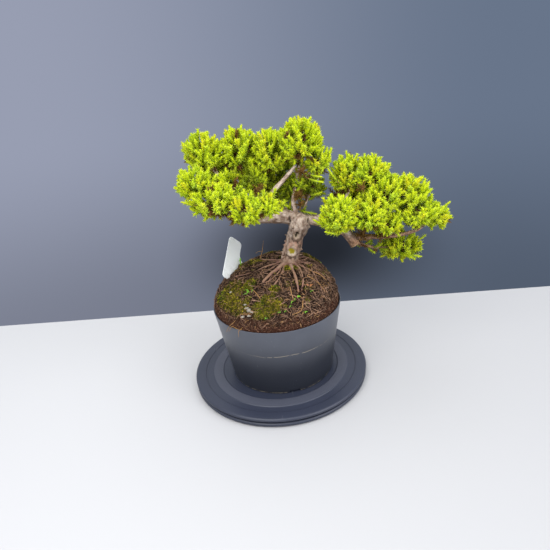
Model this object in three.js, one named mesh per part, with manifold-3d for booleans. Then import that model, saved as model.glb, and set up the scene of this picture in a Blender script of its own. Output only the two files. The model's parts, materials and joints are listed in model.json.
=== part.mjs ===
// A garden juniper grown as a small bonsai in a plastic nursery pot, on a two-disc turntable.
// Millimetres, +Z up. The origin is on the turning axis, at the turntable's underside.

import * as THREE from 'three';
import * as BufferGeometryUtils from 'three/addons/utils/BufferGeometryUtils.js';
import Module from 'manifold-3d';

const wasm = await Module();
wasm.setup();

// Driving dimensions of the turntable.
const tableRadius = 125;
const baseHeight = 6.2;
const discGap = 1.3;
const plateHeight = 6.1;
const plateBottom = baseHeight + discGap;
const plateTop = plateBottom + plateHeight;
const trackRadius = 56;
const ballRadius = 2.4;
const ballCount = 6;
const roundSides = 40;
const trackSides = 24;
const cageThick = 0.6;
const cageWidth = 9;
const runningGap = 0.3;
const trackDepth = ballRadius - discGap / 2 + runningGap;
const trackInner = trackRadius - ballRadius - 0.9;
const trackOuter = trackRadius + ballRadius + 0.9;
const spindleRadius = 8;
const spindleRise = 3.2;

// Rings moulded in the top of the plate, from the rim inwards.
const rimRingInner = 110.3;
const raisedRingOuter = 98.7;
const raisedRingInner = 84.4;
const ringGroove = 1;
const recessDepth = 0.8;

// Driving dimensions of the pot.
const potAxis = { x: 3.9, y: -1.3 };
const potBottom = plateTop - recessDepth + runningGap;
const potTop = 118.7;
const potBaseRadius = 72.1;
const potRimRadius = 88.3;
const potWall = 1.4;
const potTaper = (potRimRadius - potBaseRadius) / (potTop - potBottom);
const footHeight = 4;
const floorThick = 1.8;
const notchWidth = 15;
const notchHeight = 3.8;
const notchReach = 12;
const notchAngle = THREE.MathUtils.degToRad(-80);
const drainRadius = 4.5;
const drainCircle = 46;

// Driving dimensions of the mound of soil.
const soilGap = 0.6;
const moundRadius = potRimRadius - potWall - soilGap;
const moundFoot = potTop - 1.2;
const moundRise = 50.8;
const moundLeanX = 0.098;
const moundLeanY = 0.088;
const moundFallPower = 3;
const rimDipDepth = 7;
const rimDipAngle = -0.25;

// Clearance between the wood and what it grows through, and between neighbouring sprays.
const woodGap = 0.35;
const sprayGap = 0.5;

// One shoot: whorls of three needles on a slim stem.
const shootRows = 3;
const needleStep = 4.3;
const needleReach = 5.2;
const needleLift = 3.6;
const stemRadius = 1.1;
const shootSpacing = 9.5;
const areaPerShoot = 55;
const coreShare = 0.66;
const twigRadius = 1.8;

function randomFrom(seed) {
  let state = seed;
  return () => {
    state = (state * 1664525 + 1013904223) % 4294967296;
    return state / 4294967296;
  };
}

// A closed solid from a three.js geometry, its shared vertices merged.
function toSolid(geometry) {
  geometry.deleteAttribute('normal');
  geometry.deleteAttribute('uv');
  const merged = BufferGeometryUtils.mergeVertices(geometry, 1e-4);
  const index = merged.index.array;
  const triangles = [];
  for (let i = 0; i < index.length; i += 3) {
    const [a, b, c] = [index[i], index[i + 1], index[i + 2]];
    if (a !== b && b !== c && c !== a) triangles.push(a, b, c);
  }
  const mesh = new wasm.Mesh({
    numProp: 3,
    vertProperties: Float32Array.from(merged.attributes.position.array),
    triVerts: Uint32Array.from(triangles),
  });
  return new wasm.Manifold(mesh);
}

function toGeometry(solid) {
  const mesh = solid.getMesh();
  const geometry = new THREE.BufferGeometry();
  geometry.setAttribute('position', new THREE.BufferAttribute(mesh.vertProperties.slice(), 3));
  geometry.setIndex(new THREE.BufferAttribute(mesh.triVerts.slice(), 1));
  geometry.computeVertexNormals();
  return geometry;
}

function joined(solids) {
  return solids.reduce((sum, solid) => sum.add(solid));
}

// The largest of the bodies that a cut leaves, without its crumbs.
function largestBody(solid) {
  const bodies = solid.decompose();
  return bodies.reduce((best, body) => (body.volume() > best.volume() ? body : best));
}

// A turned solid. The profile runs up the outside, as pairs of radius and height.
function turned(profile, sides) {
  const points = profile.map(([radius, height]) => new THREE.Vector2(radius, height));
  return toSolid(new THREE.LatheGeometry(points, sides).rotateX(Math.PI / 2));
}

function disc(radius, bottom, top, sides) {
  return turned([[0, bottom], [radius, bottom], [radius, top], [0, top]], sides);
}

function ring(inner, outer, bottom, top, sides) {
  const profile = [[inner, bottom], [outer, bottom], [outer, top], [inner, top], [inner, bottom]];
  return turned(profile, sides);
}

function between(list, share) {
  const place = THREE.MathUtils.clamp(share, 0, 1) * (list.length - 1);
  const low = Math.min(Math.floor(place), list.length - 2);
  return THREE.MathUtils.lerp(list[low], list[low + 1], place - low);
}

function curveThrough(route) {
  const points = route.map((point) => new THREE.Vector3(...point));
  return new THREE.CatmullRomCurve3(points, false, 'centripetal');
}

// A closed tapered limb: a cylinder whose rings are laid along a curve.
function limb({ route, radii, sides = 5, steps = 4, knobs = 0 }, extra = 0) {
  const curve = curveThrough(route);
  const frames = curve.computeFrenetFrames(steps);
  const geometry = new THREE.CylinderGeometry(1, 1, 1, sides, steps);
  const position = geometry.attributes.position;
  const point = new THREE.Vector3();
  for (let i = 0; i < position.count; i += 1) {
    const share = position.getY(i) + 0.5;
    const step = Math.round(share * steps);
    const across = position.getX(i);
    const along = position.getZ(i);
    const angle = Math.atan2(across, along);
    const swell = 1 + knobs * Math.sin(3 * angle + 5.1 * step) * Math.cos(2.3 * step);
    const radius = between(radii, curve.getUtoTmapping(share)) * swell + extra;
    point.copy(curve.getPointAt(share));
    point.addScaledVector(frames.binormals[step], across * radius);
    point.addScaledVector(frames.normals[step], along * radius);
    if (step === 0) point.addScaledVector(frames.tangents[step], -extra);
    if (step === steps) point.addScaledVector(frames.tangents[step], extra);
    position.setXYZ(i, point.x, point.y, point.z);
  }
  return toSolid(geometry);
}

function turntableBase() {
  const body = turned([
    [0, 0], [122, 0], [tableRadius - 0.5, 2.2], [tableRadius - 0.5, baseHeight - 1.6],
    [122.6, baseHeight], [0, baseHeight],
  ], roundSides);
  const track = ring(trackInner, trackOuter, baseHeight - trackDepth, baseHeight + 1, trackSides);
  const spindle = disc(spindleRadius, baseHeight - 2, baseHeight + spindleRise, 12);
  return body.subtract(track).add(spindle);
}

function ballRing() {
  const middle = baseHeight + discGap / 2;
  const inner = trackRadius - cageWidth / 2;
  const outer = trackRadius + cageWidth / 2;
  const cage = ring(inner, outer, middle - cageThick / 2, middle + cageThick / 2, trackSides);
  const balls = [];
  for (let i = 0; i < ballCount; i += 1) {
    const angle = (i / ballCount) * Math.PI * 2;
    const ball = new THREE.SphereGeometry(ballRadius, 6, 4).rotateX(Math.PI / 2);
    ball.translate(trackRadius * Math.cos(angle), trackRadius * Math.sin(angle), middle);
    balls.push(toSolid(ball));
  }
  return joined([cage, ...balls]);
}

function turntablePlate() {
  const recess = plateTop - recessDepth;
  const groove = plateTop - ringGroove;
  const body = turned([
    [0, plateBottom], [122.4, plateBottom], [tableRadius, plateBottom + 2.4],
    [tableRadius, plateTop - 1.8], [123.2, plateTop],
    [rimRingInner, plateTop], [rimRingInner - 0.6, groove],
    [raisedRingOuter + 0.6, groove], [raisedRingOuter, plateTop],
    [raisedRingInner, plateTop], [raisedRingInner - 0.6, recess], [0, recess],
  ], roundSides);
  const track = ring(trackInner, trackOuter, plateBottom - 1, plateBottom + trackDepth, trackSides);
  const socketRadius = spindleRadius + runningGap + 0.1;
  const socketTop = baseHeight + spindleRise + runningGap;
  const socket = disc(socketRadius, plateBottom - 1, socketTop, 12);
  return body.subtract(track).subtract(socket);
}

function potRadiusAt(height) {
  return potBaseRadius + potTaper * (height - potBottom);
}

function pot() {
  const floorUnder = potBottom + footHeight;
  const floorTop = floorUnder + floorThick;
  const footInner = potBaseRadius - 2;
  const walls = turned([
    [0, floorUnder], [footInner, floorUnder], [footInner, potBottom], [potBaseRadius - 0.7, potBottom],
    [potRadiusAt(potBottom + 0.8), potBottom + 0.8],
    [potRimRadius, potTop], [potRimRadius - potWall, potTop],
    [potRadiusAt(floorTop + 2) - potWall, floorTop + 2],
    [potRadiusAt(floorTop) - potWall - 2, floorTop], [0, floorTop],
  ], roundSides);
  const cuts = [];
  for (let i = 0; i < 4; i += 1) {
    const turn = notchAngle + (i * Math.PI) / 2;
    const notch = new THREE.BoxGeometry(notchReach, notchWidth, notchHeight * 2);
    notch.translate(potBaseRadius, 0, potBottom).rotateZ(turn);
    const drain = new THREE.CylinderGeometry(drainRadius, drainRadius, floorThick * 3, 8);
    drain.rotateX(Math.PI / 2).translate(drainCircle, 0, floorUnder + floorThick / 2);
    drain.rotateZ(turn + Math.PI / 4);
    cuts.push(toSolid(notch), toSolid(drain));
  }
  return walls.subtract(joined(cuts)).translate(potAxis.x, potAxis.y, 0);
}

// Height of the soil: a steep root ball at the rim, domed and leaning up to the back right.
function soilHeight(x, y) {
  const east = x - potAxis.x;
  const north = y - potAxis.y;
  const share = Math.min(Math.hypot(east, north) / moundRadius, 1);
  const rise = Math.sqrt(Math.max(1 - share ** moundFallPower, 0));
  const lumps = 1.3 * Math.sin(0.11 * x + 1.7) * Math.cos(0.13 * y) + 0.8 * Math.sin(0.23 * y + 0.19 * x);
  const dip = rimDip(Math.atan2(north, east)) * share ** 4;
  return moundFoot - dip + rise * (moundRise + moundLeanX * east + moundLeanY * north + lumps);
}

// The soil has shrunk down from the rim on the right.
function rimDip(angle) {
  return rimDipDepth * Math.max(Math.cos(angle - rimDipAngle), 0) ** 2;
}

function soil(cutters) {
  const bottom = potBottom + footHeight + floorThick + runningGap;
  const shares = [0.985, 0.92, 0.8, 0.6, 0.35];
  const profile = [
    [0, bottom], [potRadiusAt(bottom) - potWall - 2.6, bottom],
    [potRadiusAt(bottom + 2) - potWall - soilGap - 0.3, bottom + 2.4],
    [moundRadius - 1.6, potTop - 11], [moundRadius, moundFoot],
    ...shares.map((share) => [share * moundRadius, potTop]), [0, potTop],
  ];
  const sides = 30;
  const points = profile.map(([radius, height]) => new THREE.Vector2(radius, height));
  const geometry = new THREE.LatheGeometry(points, sides).rotateX(Math.PI / 2);
  geometry.translate(potAxis.x, potAxis.y, 0);
  const position = geometry.attributes.position;
  for (let i = 0; i < position.count; i += 1) {
    const x = position.getX(i);
    const y = position.getY(i);
    if (position.getZ(i) < moundFoot - 0.1) continue;
    const angle = Math.atan2(y - potAxis.y, x - potAxis.x);
    const shrink = 1 - (potTaper * rimDip(angle)) / moundRadius;
    const height = soilHeight(x, y);
    position.setX(i, potAxis.x + shrink * (x - potAxis.x));
    position.setY(i, potAxis.y + shrink * (y - potAxis.y));
    position.setZ(i, height);
  }
  return largestBody(cutters.reduce((body, cutter) => body.subtract(cutter), toSolid(geometry)));
}

// Trunk and limbs, from the root flare to the twig ends inside the sprays.
const limbs = [
  { route: [[27, 9, 156], [27.5, 8, 172], [31, 5, 189], [38, 2, 211], [43, 0, 227], [47, -1, 239]],
    radii: [15, 12.4, 11.4, 11, 12.7, 8.5], sides: 10, steps: 8, knobs: 0.05 },
  { route: [[44, 0, 231], [30, 0, 237], [13, -4, 240], [-2, -8, 242], [-24, -16, 244], [-44, -26, 255],
    [-56, -34, 273]],
    radii: [9, 8, 7.6, 7, 5.6, 4.2, 2.8], sides: 7, steps: 7, knobs: 0.05 },
  { route: [[42, 0, 232], [56, -1, 231], [70, -4, 228], [84, -8, 225], [98, -10, 216], [107, -12, 205],
    [113, -15, 194]],
    radii: [9, 7.8, 7, 6.6, 6.4, 6.8, 6.6], sides: 7, steps: 7, knobs: 0.05 },
  { route: [[41, 1, 236], [38, 4, 257], [44, 8, 277], [49, 10, 300], [51, 10, 318]],
    radii: [4.2, 2.8, 2.6, 2.2, 1.6] },
  { route: [[-4, -8, 242], [9, -3, 268], [34, 3, 291], [44, 6, 300]], radii: [4.6, 3.4, 2.8, 2] },
  { route: [[-18, -12, 243], [-36, 2, 268], [-56, 16, 300], [-66, 24, 318]], radii: [4.2, 3.2, 2.4, 1.8] },
  { route: [[6, -5, 242], [-8, 8, 268], [-20, 22, 296], [-24, 28, 314]], radii: [4.2, 3.2, 2.6, 1.8] },
  { route: [[-10, -11, 240], [-15, -30, 250], [-19, -44, 262]], radii: [3.8, 2.8, 2] },
  { route: [[-22, -14, 243], [-38, 14, 258], [-50, 44, 278], [-56, 60, 292]], radii: [3.8, 3, 2.2, 1.6] },
  { route: [[12, -2, 268], [15, 8, 288], [14, 18, 306]], radii: [2.8, 2.2, 1.6] },
  { route: [[28, 2, 240], [20, 20, 258], [10, 34, 270], [2, 52, 280], [-8, 70, 290]],
    radii: [4.2, 3.4, 2.8, 2.2, 1.6] },
  { route: [[46, 2, 236], [56, 16, 250], [64, 26, 262]], radii: [3, 2.2, 1.6] },
  { route: [[84, -10, 226], [87, -22, 234], [89, -32, 243]], radii: [3.8, 2.8, 2] },
  { route: [[96, -8, 216], [103, 2, 240], [112, 12, 262], [120, 16, 278]], radii: [4.4, 3.2, 2.6, 1.8] },
  { route: [[104, -11, 208], [117, -8, 208], [136, -4, 207], [164, 1, 206], [190, -4, 214], [204, -6, 224]],
    radii: [5.4, 4.6, 4.2, 3.2, 2.4, 1.8] },
  { route: [[124, -7, 208], [140, 2, 226], [152, 0, 246]], radii: [3.6, 2.8, 2] },
  { route: [[106, -11, 202], [119, -8, 193], [140, 0, 182], [158, 8, 177], [172, 14, 176]],
    radii: [4.6, 3.6, 3, 2.4, 1.8] },
  { route: [[100, -6, 214], [112, 14, 226], [122, 36, 240], [128, 50, 250]], radii: [3.8, 3, 2.4, 1.6] },
];

// Surface roots, as points in plan that follow the mound, and their radii at each end.
const roots = [
  { plan: [[24, 6], [8, -10], [-8, -26], [-22, -44]], radii: [6, 1.6] },
  { plan: [[26, 4], [28, -14], [31, -34], [32, -56]], radii: [5.6, 1.6] },
  { plan: [[30, 4], [38, -16], [40, -38], [36, -54]], radii: [5, 1.4] },
  { plan: [[22, 6], [16, -16], [8, -34], [0, -48]], radii: [3.6, 1.2] },
  { plan: [[22, 10], [-4, 2], [-28, -2], [-50, 4]], radii: [5, 1.4] },
  { plan: [[20, 10], [2, 22], [-16, 30], [-32, 24]], radii: [4, 1.3] },
  { plan: [[32, 6], [52, -4], [64, -18]], radii: [5, 1.5] },
  { plan: [[32, 10], [48, 20], [62, 26]], radii: [5, 1.6] },
  { plan: [[26, 12], [22, 32], [10, 50]], radii: [4.4, 1.5] },
];

function rootLimb({ plan, radii }) {
  const [thick, thin] = radii;
  const last = plan.length - 1;
  const route = plan.map(([x, y], i) => {
    const lift = THREE.MathUtils.lerp(thick * 0.5, -thin * 0.7, i / last);
    return [x, y, soilHeight(x, y) + lift];
  });
  return { route, radii: [thick, THREE.MathUtils.lerp(thick, thin, 0.6), thin], sides: 4, knobs: 0.08 };
}

const woodParts = [...limbs, ...roots.map(rootLimb)];

function wood(extra) {
  return joined(woodParts.map((part) => limb(part, extra)));
}

function bunch(x, y, z, halfX, halfY, halfZ) {
  return { centre: [x, y, z], half: [halfX, halfY, halfZ] };
}

// Each spray is one or more bunches, given as centre and half sizes.
const sprays = {
  foliage_crown_left: [bunch(-69, 25, 325, 28, 28, 27)],
  foliage_crown_middle: [bunch(-25, 30, 322, 30, 28, 30)],
  foliage_crown_right: [bunch(13, 22, 318, 27, 27, 31)],
  foliage_apex: [bunch(51, 10, 332, 31, 30, 30), bunch(72, 12, 303, 18, 18, 18)],
  foliage_left_front: [
    bunch(-80, -20, 297, 25, 24, 21), bunch(-59, -38, 279, 30, 26, 23),
    bunch(-37, -3, 286, 25, 22, 21), bunch(-14, 8, 288, 22, 20, 18),
  ],
  foliage_left_low: [bunch(-19, -50, 268, 25, 22, 19), bunch(8, -45, 264, 15, 15, 16)],
  foliage_left_inner: [bunch(6, 40, 280, 28, 24, 21)],
  foliage_small_back: [bunch(67, 30, 266, 16, 15, 15), bunch(42, 42, 266, 22, 20, 18)],
  foliage_back_left: [bunch(-58, 66, 298, 27, 26, 24)],
  foliage_back_middle: [bunch(-12, 76, 294, 28, 26, 25), bunch(27, 64, 300, 24, 24, 24)],
  foliage_right_crown: [bunch(110, 20, 280, 22, 23, 27), bunch(141, 12, 286, 25, 26, 25)],
  foliage_right_outer: [
    bunch(153, -2, 255, 32, 30, 28), bunch(185, 0, 257, 29, 28, 25),
    bunch(197, -6, 229, 28, 26, 21), bunch(224, -2, 222, 19, 18, 18),
  ],
  foliage_right_front: [
    bunch(89, -35, 245, 25, 24, 26), bunch(127, -25, 240, 27, 26, 24), bunch(153, -14, 221, 24, 20, 17),
  ],
  foliage_right_under: [bunch(178, 15, 176, 33, 26, 20)],
  foliage_right_back: [bunch(126, 52, 252, 26, 24, 24), bunch(163, 46, 238, 26, 24, 24)],
};

// The denser middle of a bunch, which its shoots stand out of.
function bunchCore({ centre, half }) {
  const geometry = new THREE.OctahedronGeometry(coreShare, 1);
  geometry.scale(...half);
  geometry.translate(...centre);
  return toSolid(geometry);
}

// A shoot from its root to its tip, as one closed surface raised into needles.
function shoot({ root, tip }) {
  const geometry = new THREE.ConeGeometry(1, 1, 6, shootRows);
  const position = geometry.attributes.position;
  const length = root.distanceTo(tip);
  const turn = new THREE.Quaternion();
  turn.setFromUnitVectors(new THREE.Vector3(0, 1, 0), tip.clone().sub(root).divideScalar(length));
  const point = new THREE.Vector3();
  for (let i = 0; i < position.count; i += 1) {
    const row = Math.round((position.getY(i) + 0.5) * shootRows);
    const angle = Math.atan2(position.getX(i), position.getZ(i));
    const column = Math.round(angle / (Math.PI / 3)) + 6;
    const end = row === 0 || row === shootRows;
    const needle = !end && (row + column) % 2 === 0;
    const reach = end ? 0 : needle ? needleReach : stemRadius;
    const even = (row / shootRows) * length;
    const fromTip = row === 0 ? 0 : length - (shootRows - row) * needleStep;
    const height = Math.max(even, fromTip) + (needle ? needleLift : 0);
    point.set(reach * Math.sin(angle), height, reach * Math.cos(angle)).applyQuaternion(turn).add(root);
    position.setXYZ(i, point.x, point.y, point.z);
  }
  return toSolid(geometry);
}

function insideBunch(point, { centre, half }, share, margin) {
  const x = (point.x - centre[0]) / (half[0] * share + margin);
  const y = (point.y - centre[1]) / (half[1] * share + margin);
  const z = (point.z - centre[2]) / (half[2] * share + margin);
  return x * x + y * y + z * z < 1;
}

// Sample points along a shoot or a limb, for clearance tests.
function pointsBetween(start, end, count) {
  return Array.from({ length: count + 1 }, (_, i) => start.clone().lerp(end, i / count));
}

const woodPoints = limbs.flatMap(({ route, radii }) => {
  const curve = curveThrough(route);
  return curve.getPoints(24).map((point, i) => ({ point, radius: between(radii, i / 24) }));
});

// Shoot places on a bunch: an even spiral with a little seeded shift, leaning upwards.
function bunchShoots(home, random) {
  const centre = new THREE.Vector3(...home.centre);
  const half = new THREE.Vector3(...home.half);
  const spread = Math.cbrt(half.x * half.y * half.z);
  const count = Math.round((spread * spread) / areaPerShoot);
  const places = [];
  for (let i = 0; i < count; i += 1) {
    const level = 1 - (2 * (i + 0.5)) / count;
    const angle = i * Math.PI * (3 - Math.sqrt(5)) + random() * 0.5;
    const width = Math.sqrt(1 - level * level);
    const out = new THREE.Vector3(width * Math.cos(angle), width * Math.sin(angle), level);
    const tip = out.clone().multiply(half).multiplyScalar(0.96 + 0.1 * random()).add(centre);
    const root = out.clone().multiplyScalar(0.55).sub(new THREE.Vector3(0, 0, 0.25));
    root.multiply(half).multiplyScalar(coreShare).add(centre);
    places.push({ root, tip });
  }
  return places;
}

// Every shoot of every spray that stands clear of the other sprays and of the wood.
function placeShoots() {
  const random = randomFrom(7);
  const all = Object.entries(sprays);
  const placed = [];
  for (const [name, bunches] of all) {
    const others = all.filter(([other]) => other !== name).flatMap(([, list]) => list);
    for (const home of bunches) {
      const siblings = bunches.filter((other) => other !== home);
      for (const place of bunchShoots(home, random)) {
        const points = pointsBetween(place.root, place.tip, 5);
        const buried = siblings.some((other) => insideBunch(place.tip, other, 0.86, 0));
        const blocked = others.some((other) => insideBunch(place.tip, other, 0.9, 0)
          || points.some((point) => insideBunch(point, other, coreShare, needleReach + sprayGap)));
        const nearWood = woodPoints.some(({ point, radius }) => points.slice(2)
          .some((sample) => sample.distanceTo(point) < radius + needleReach + sprayGap));
        const crowded = placed.some((other) => {
          const apart = other.name === name ? shootSpacing : 2 * needleReach + sprayGap;
          const first = other.name === name ? 2 : 0;
          return other.points.slice(first).some((sample) => points.slice(first)
            .some((point) => sample.distanceTo(point) < apart));
        });
        if (!buried && !blocked && !nearWood && !crowded) placed.push({ name, points, ...place });
      }
    }
  }
  return placed;
}

function spray(name, bunches, shoots, woodCutter) {
  const cores = bunches.map(bunchCore);
  const twigs = bunches.slice(1).map((next, i) => {
    const route = [bunches[i].centre, next.centre];
    return limb({ route, radii: [twigRadius, twigRadius], steps: 2 });
  });
  const own = shoots.filter((place) => place.name === name).map(shoot);
  return largestBody(joined([...cores, ...twigs, ...own]).subtract(woodCutter));
}

// The plant label: a T leaning back, its stem pushed down into the left of the mound.
const labelLength = 64;
const labelWidth = 25;
const labelStem = 7;
const labelStemLength = 34;
const labelPoint = 6;
const labelCorner = 5;
const labelFillet = 12;
const labelThick = 0.9;
const labelCentre = new THREE.Vector3(-52.8, 36, 170.5);
const labelUp = new THREE.Vector3(0.222, 0.753, 0.619).normalize();
const labelAcross = new THREE.Vector3(0.583, 0.406, -0.704);

function label(extra) {
  const halfLong = labelLength / 2 + extra;
  const halfWide = labelWidth / 2 + extra;
  const halfStem = labelStem / 2 + extra;
  const round = labelCorner;
  const fillet = labelFillet;
  const end = halfWide + labelStemLength;
  const shape = new THREE.Shape();
  shape.absarc(-halfWide + round, -halfLong + round, round, Math.PI, 1.5 * Math.PI);
  shape.absarc(halfWide - round, -halfLong + round, round, 1.5 * Math.PI, 2 * Math.PI);
  shape.absarc(halfWide + fillet, -halfStem - fillet, fillet, Math.PI, 0.5 * Math.PI, true);
  shape.lineTo(end - labelPoint, -halfStem);
  shape.lineTo(end, 0);
  shape.lineTo(end - labelPoint, halfStem);
  shape.absarc(halfWide + fillet, halfStem + fillet, fillet, 1.5 * Math.PI, Math.PI, true);
  shape.absarc(halfWide - round, halfLong - round, round, 0, 0.5 * Math.PI);
  shape.absarc(-halfWide + round, halfLong - round, round, 0.5 * Math.PI, Math.PI);
  const depth = labelThick + 2 * extra;
  const geometry = new THREE.ExtrudeGeometry(shape, { depth, bevelEnabled: false, curveSegments: 2 });
  geometry.translate(0, 0, -depth / 2);
  const facing = labelAcross.clone().cross(labelUp).normalize();
  const across = labelUp.clone().cross(facing).normalize();
  const pose = new THREE.Matrix4().makeBasis(across, labelUp, facing).setPosition(labelCentre);
  return toSolid(geometry.applyMatrix4(pose));
}

const finishes = {
  turntableBase: new THREE.MeshStandardMaterial({ color: 0x3a3f4a, roughness: 0.4, metalness: 0 }),
  ballRing: new THREE.MeshStandardMaterial({ color: 0xb9bcc0, roughness: 0.35, metalness: 0 }),
  turntablePlate: new THREE.MeshStandardMaterial({ color: 0x363b46, roughness: 0.4, metalness: 0 }),
  pot: new THREE.MeshStandardMaterial({ color: 0x35383f, roughness: 0.45, metalness: 0 }),
  soil: new THREE.MeshStandardMaterial({ color: 0x5a4639, roughness: 0.95, metalness: 0 }),
  wood: new THREE.MeshStandardMaterial({ color: 0xa38a72, roughness: 0.85, metalness: 0 }),
  label: new THREE.MeshStandardMaterial({ color: 0xe4e8ec, roughness: 0.4, metalness: 0 }),
  foliage: new THREE.MeshStandardMaterial({ color: 0x93a924, roughness: 0.6, metalness: 0 }),
};

const bonsai = new THREE.Group();

function addPiece(name, solid, material) {
  const mesh = new THREE.Mesh(toGeometry(solid), material);
  mesh.name = name;
  bonsai.add(mesh);
}

addPiece('turntable_base', turntableBase(), finishes.turntableBase);
addPiece('ball_ring', ballRing(), finishes.ballRing);
addPiece('turntable_plate', turntablePlate(), finishes.turntablePlate);
addPiece('pot', pot(), finishes.pot);
addPiece('soil', soil([wood(woodGap), label(woodGap)]), finishes.soil);
addPiece('trunk', wood(0), finishes.wood);
addPiece('plant_label', label(0), finishes.label);
const shoots = placeShoots();
const woodCutter = wood(woodGap);
for (const [name, bunches] of Object.entries(sprays)) {
  addPiece(name, spray(name, bunches, shoots, woodCutter), finishes.foliage);
}

export default bonsai;
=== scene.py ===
# A garden juniper bonsai in its nursery pot on a turntable, dressed over its CAD frame.
# Metres, +Z up. The origin is on the turning axis, at the turntable's underside.
import json
import math
import random

import bmesh
import bpy
import numpy as np
from mathutils import Matrix, Vector, noise

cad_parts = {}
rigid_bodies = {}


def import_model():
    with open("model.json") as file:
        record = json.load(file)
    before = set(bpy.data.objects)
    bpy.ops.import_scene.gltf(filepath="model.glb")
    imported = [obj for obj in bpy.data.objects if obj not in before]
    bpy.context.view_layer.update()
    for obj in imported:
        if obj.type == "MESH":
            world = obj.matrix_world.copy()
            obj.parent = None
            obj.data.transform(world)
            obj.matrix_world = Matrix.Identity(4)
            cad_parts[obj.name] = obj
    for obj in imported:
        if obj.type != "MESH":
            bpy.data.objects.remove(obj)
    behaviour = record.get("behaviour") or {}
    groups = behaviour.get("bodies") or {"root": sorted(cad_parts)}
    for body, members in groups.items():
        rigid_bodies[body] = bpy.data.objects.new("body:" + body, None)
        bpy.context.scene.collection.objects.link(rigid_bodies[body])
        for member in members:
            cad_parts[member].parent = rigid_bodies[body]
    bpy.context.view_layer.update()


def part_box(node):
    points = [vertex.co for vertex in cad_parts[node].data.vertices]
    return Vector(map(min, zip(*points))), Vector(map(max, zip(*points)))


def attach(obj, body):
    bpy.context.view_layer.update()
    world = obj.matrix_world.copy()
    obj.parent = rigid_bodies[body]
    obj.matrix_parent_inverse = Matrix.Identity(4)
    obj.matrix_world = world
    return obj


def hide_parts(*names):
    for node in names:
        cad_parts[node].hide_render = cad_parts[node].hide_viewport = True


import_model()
scene = bpy.context.scene
mm = 0.001


# Points and colours

def at(x, y, z):
    return Vector((x * mm, y * mm, z * mm))


def paint(red, green, blue):
    # A display colour of 0 to 255 as a linear shader colour.
    parts = [value / 255 for value in (red, green, blue)]
    linear = [v / 12.92 if v <= 0.04045 else ((v + 0.055) / 1.055) ** 2.4 for v in parts]
    return (*linear, 1)


def blend(first, second, share):
    return first + (second - first) * share


def between(values, share):
    # The value at a share of the way along an evenly spaced list.
    place = min(max(share, 0), 1) * (len(values) - 1)
    low = min(int(place), len(values) - 2)
    return blend(values[low], values[low + 1], place - low)


def smooth(share):
    share = min(max(share, 0), 1)
    return share * share * (3 - 2 * share)


# Nodes, for materials and for Geometry Nodes alike

class Wire:
    # One output of a node. Arithmetic on it adds Math nodes.
    def __init__(self, sheet, output):
        self.sheet = sheet
        self.output = output

    def __add__(self, other):
        return self.sheet.math("ADD", self, other)

    def __radd__(self, other):
        return self.sheet.math("ADD", other, self)

    def __sub__(self, other):
        return self.sheet.math("SUBTRACT", self, other)

    def __rsub__(self, other):
        return self.sheet.math("SUBTRACT", other, self)

    def __mul__(self, other):
        return self.sheet.math("MULTIPLY", self, other)

    def __rmul__(self, other):
        return self.sheet.math("MULTIPLY", other, self)

    def __pow__(self, other):
        return self.sheet.math("POWER", self, other)


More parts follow.
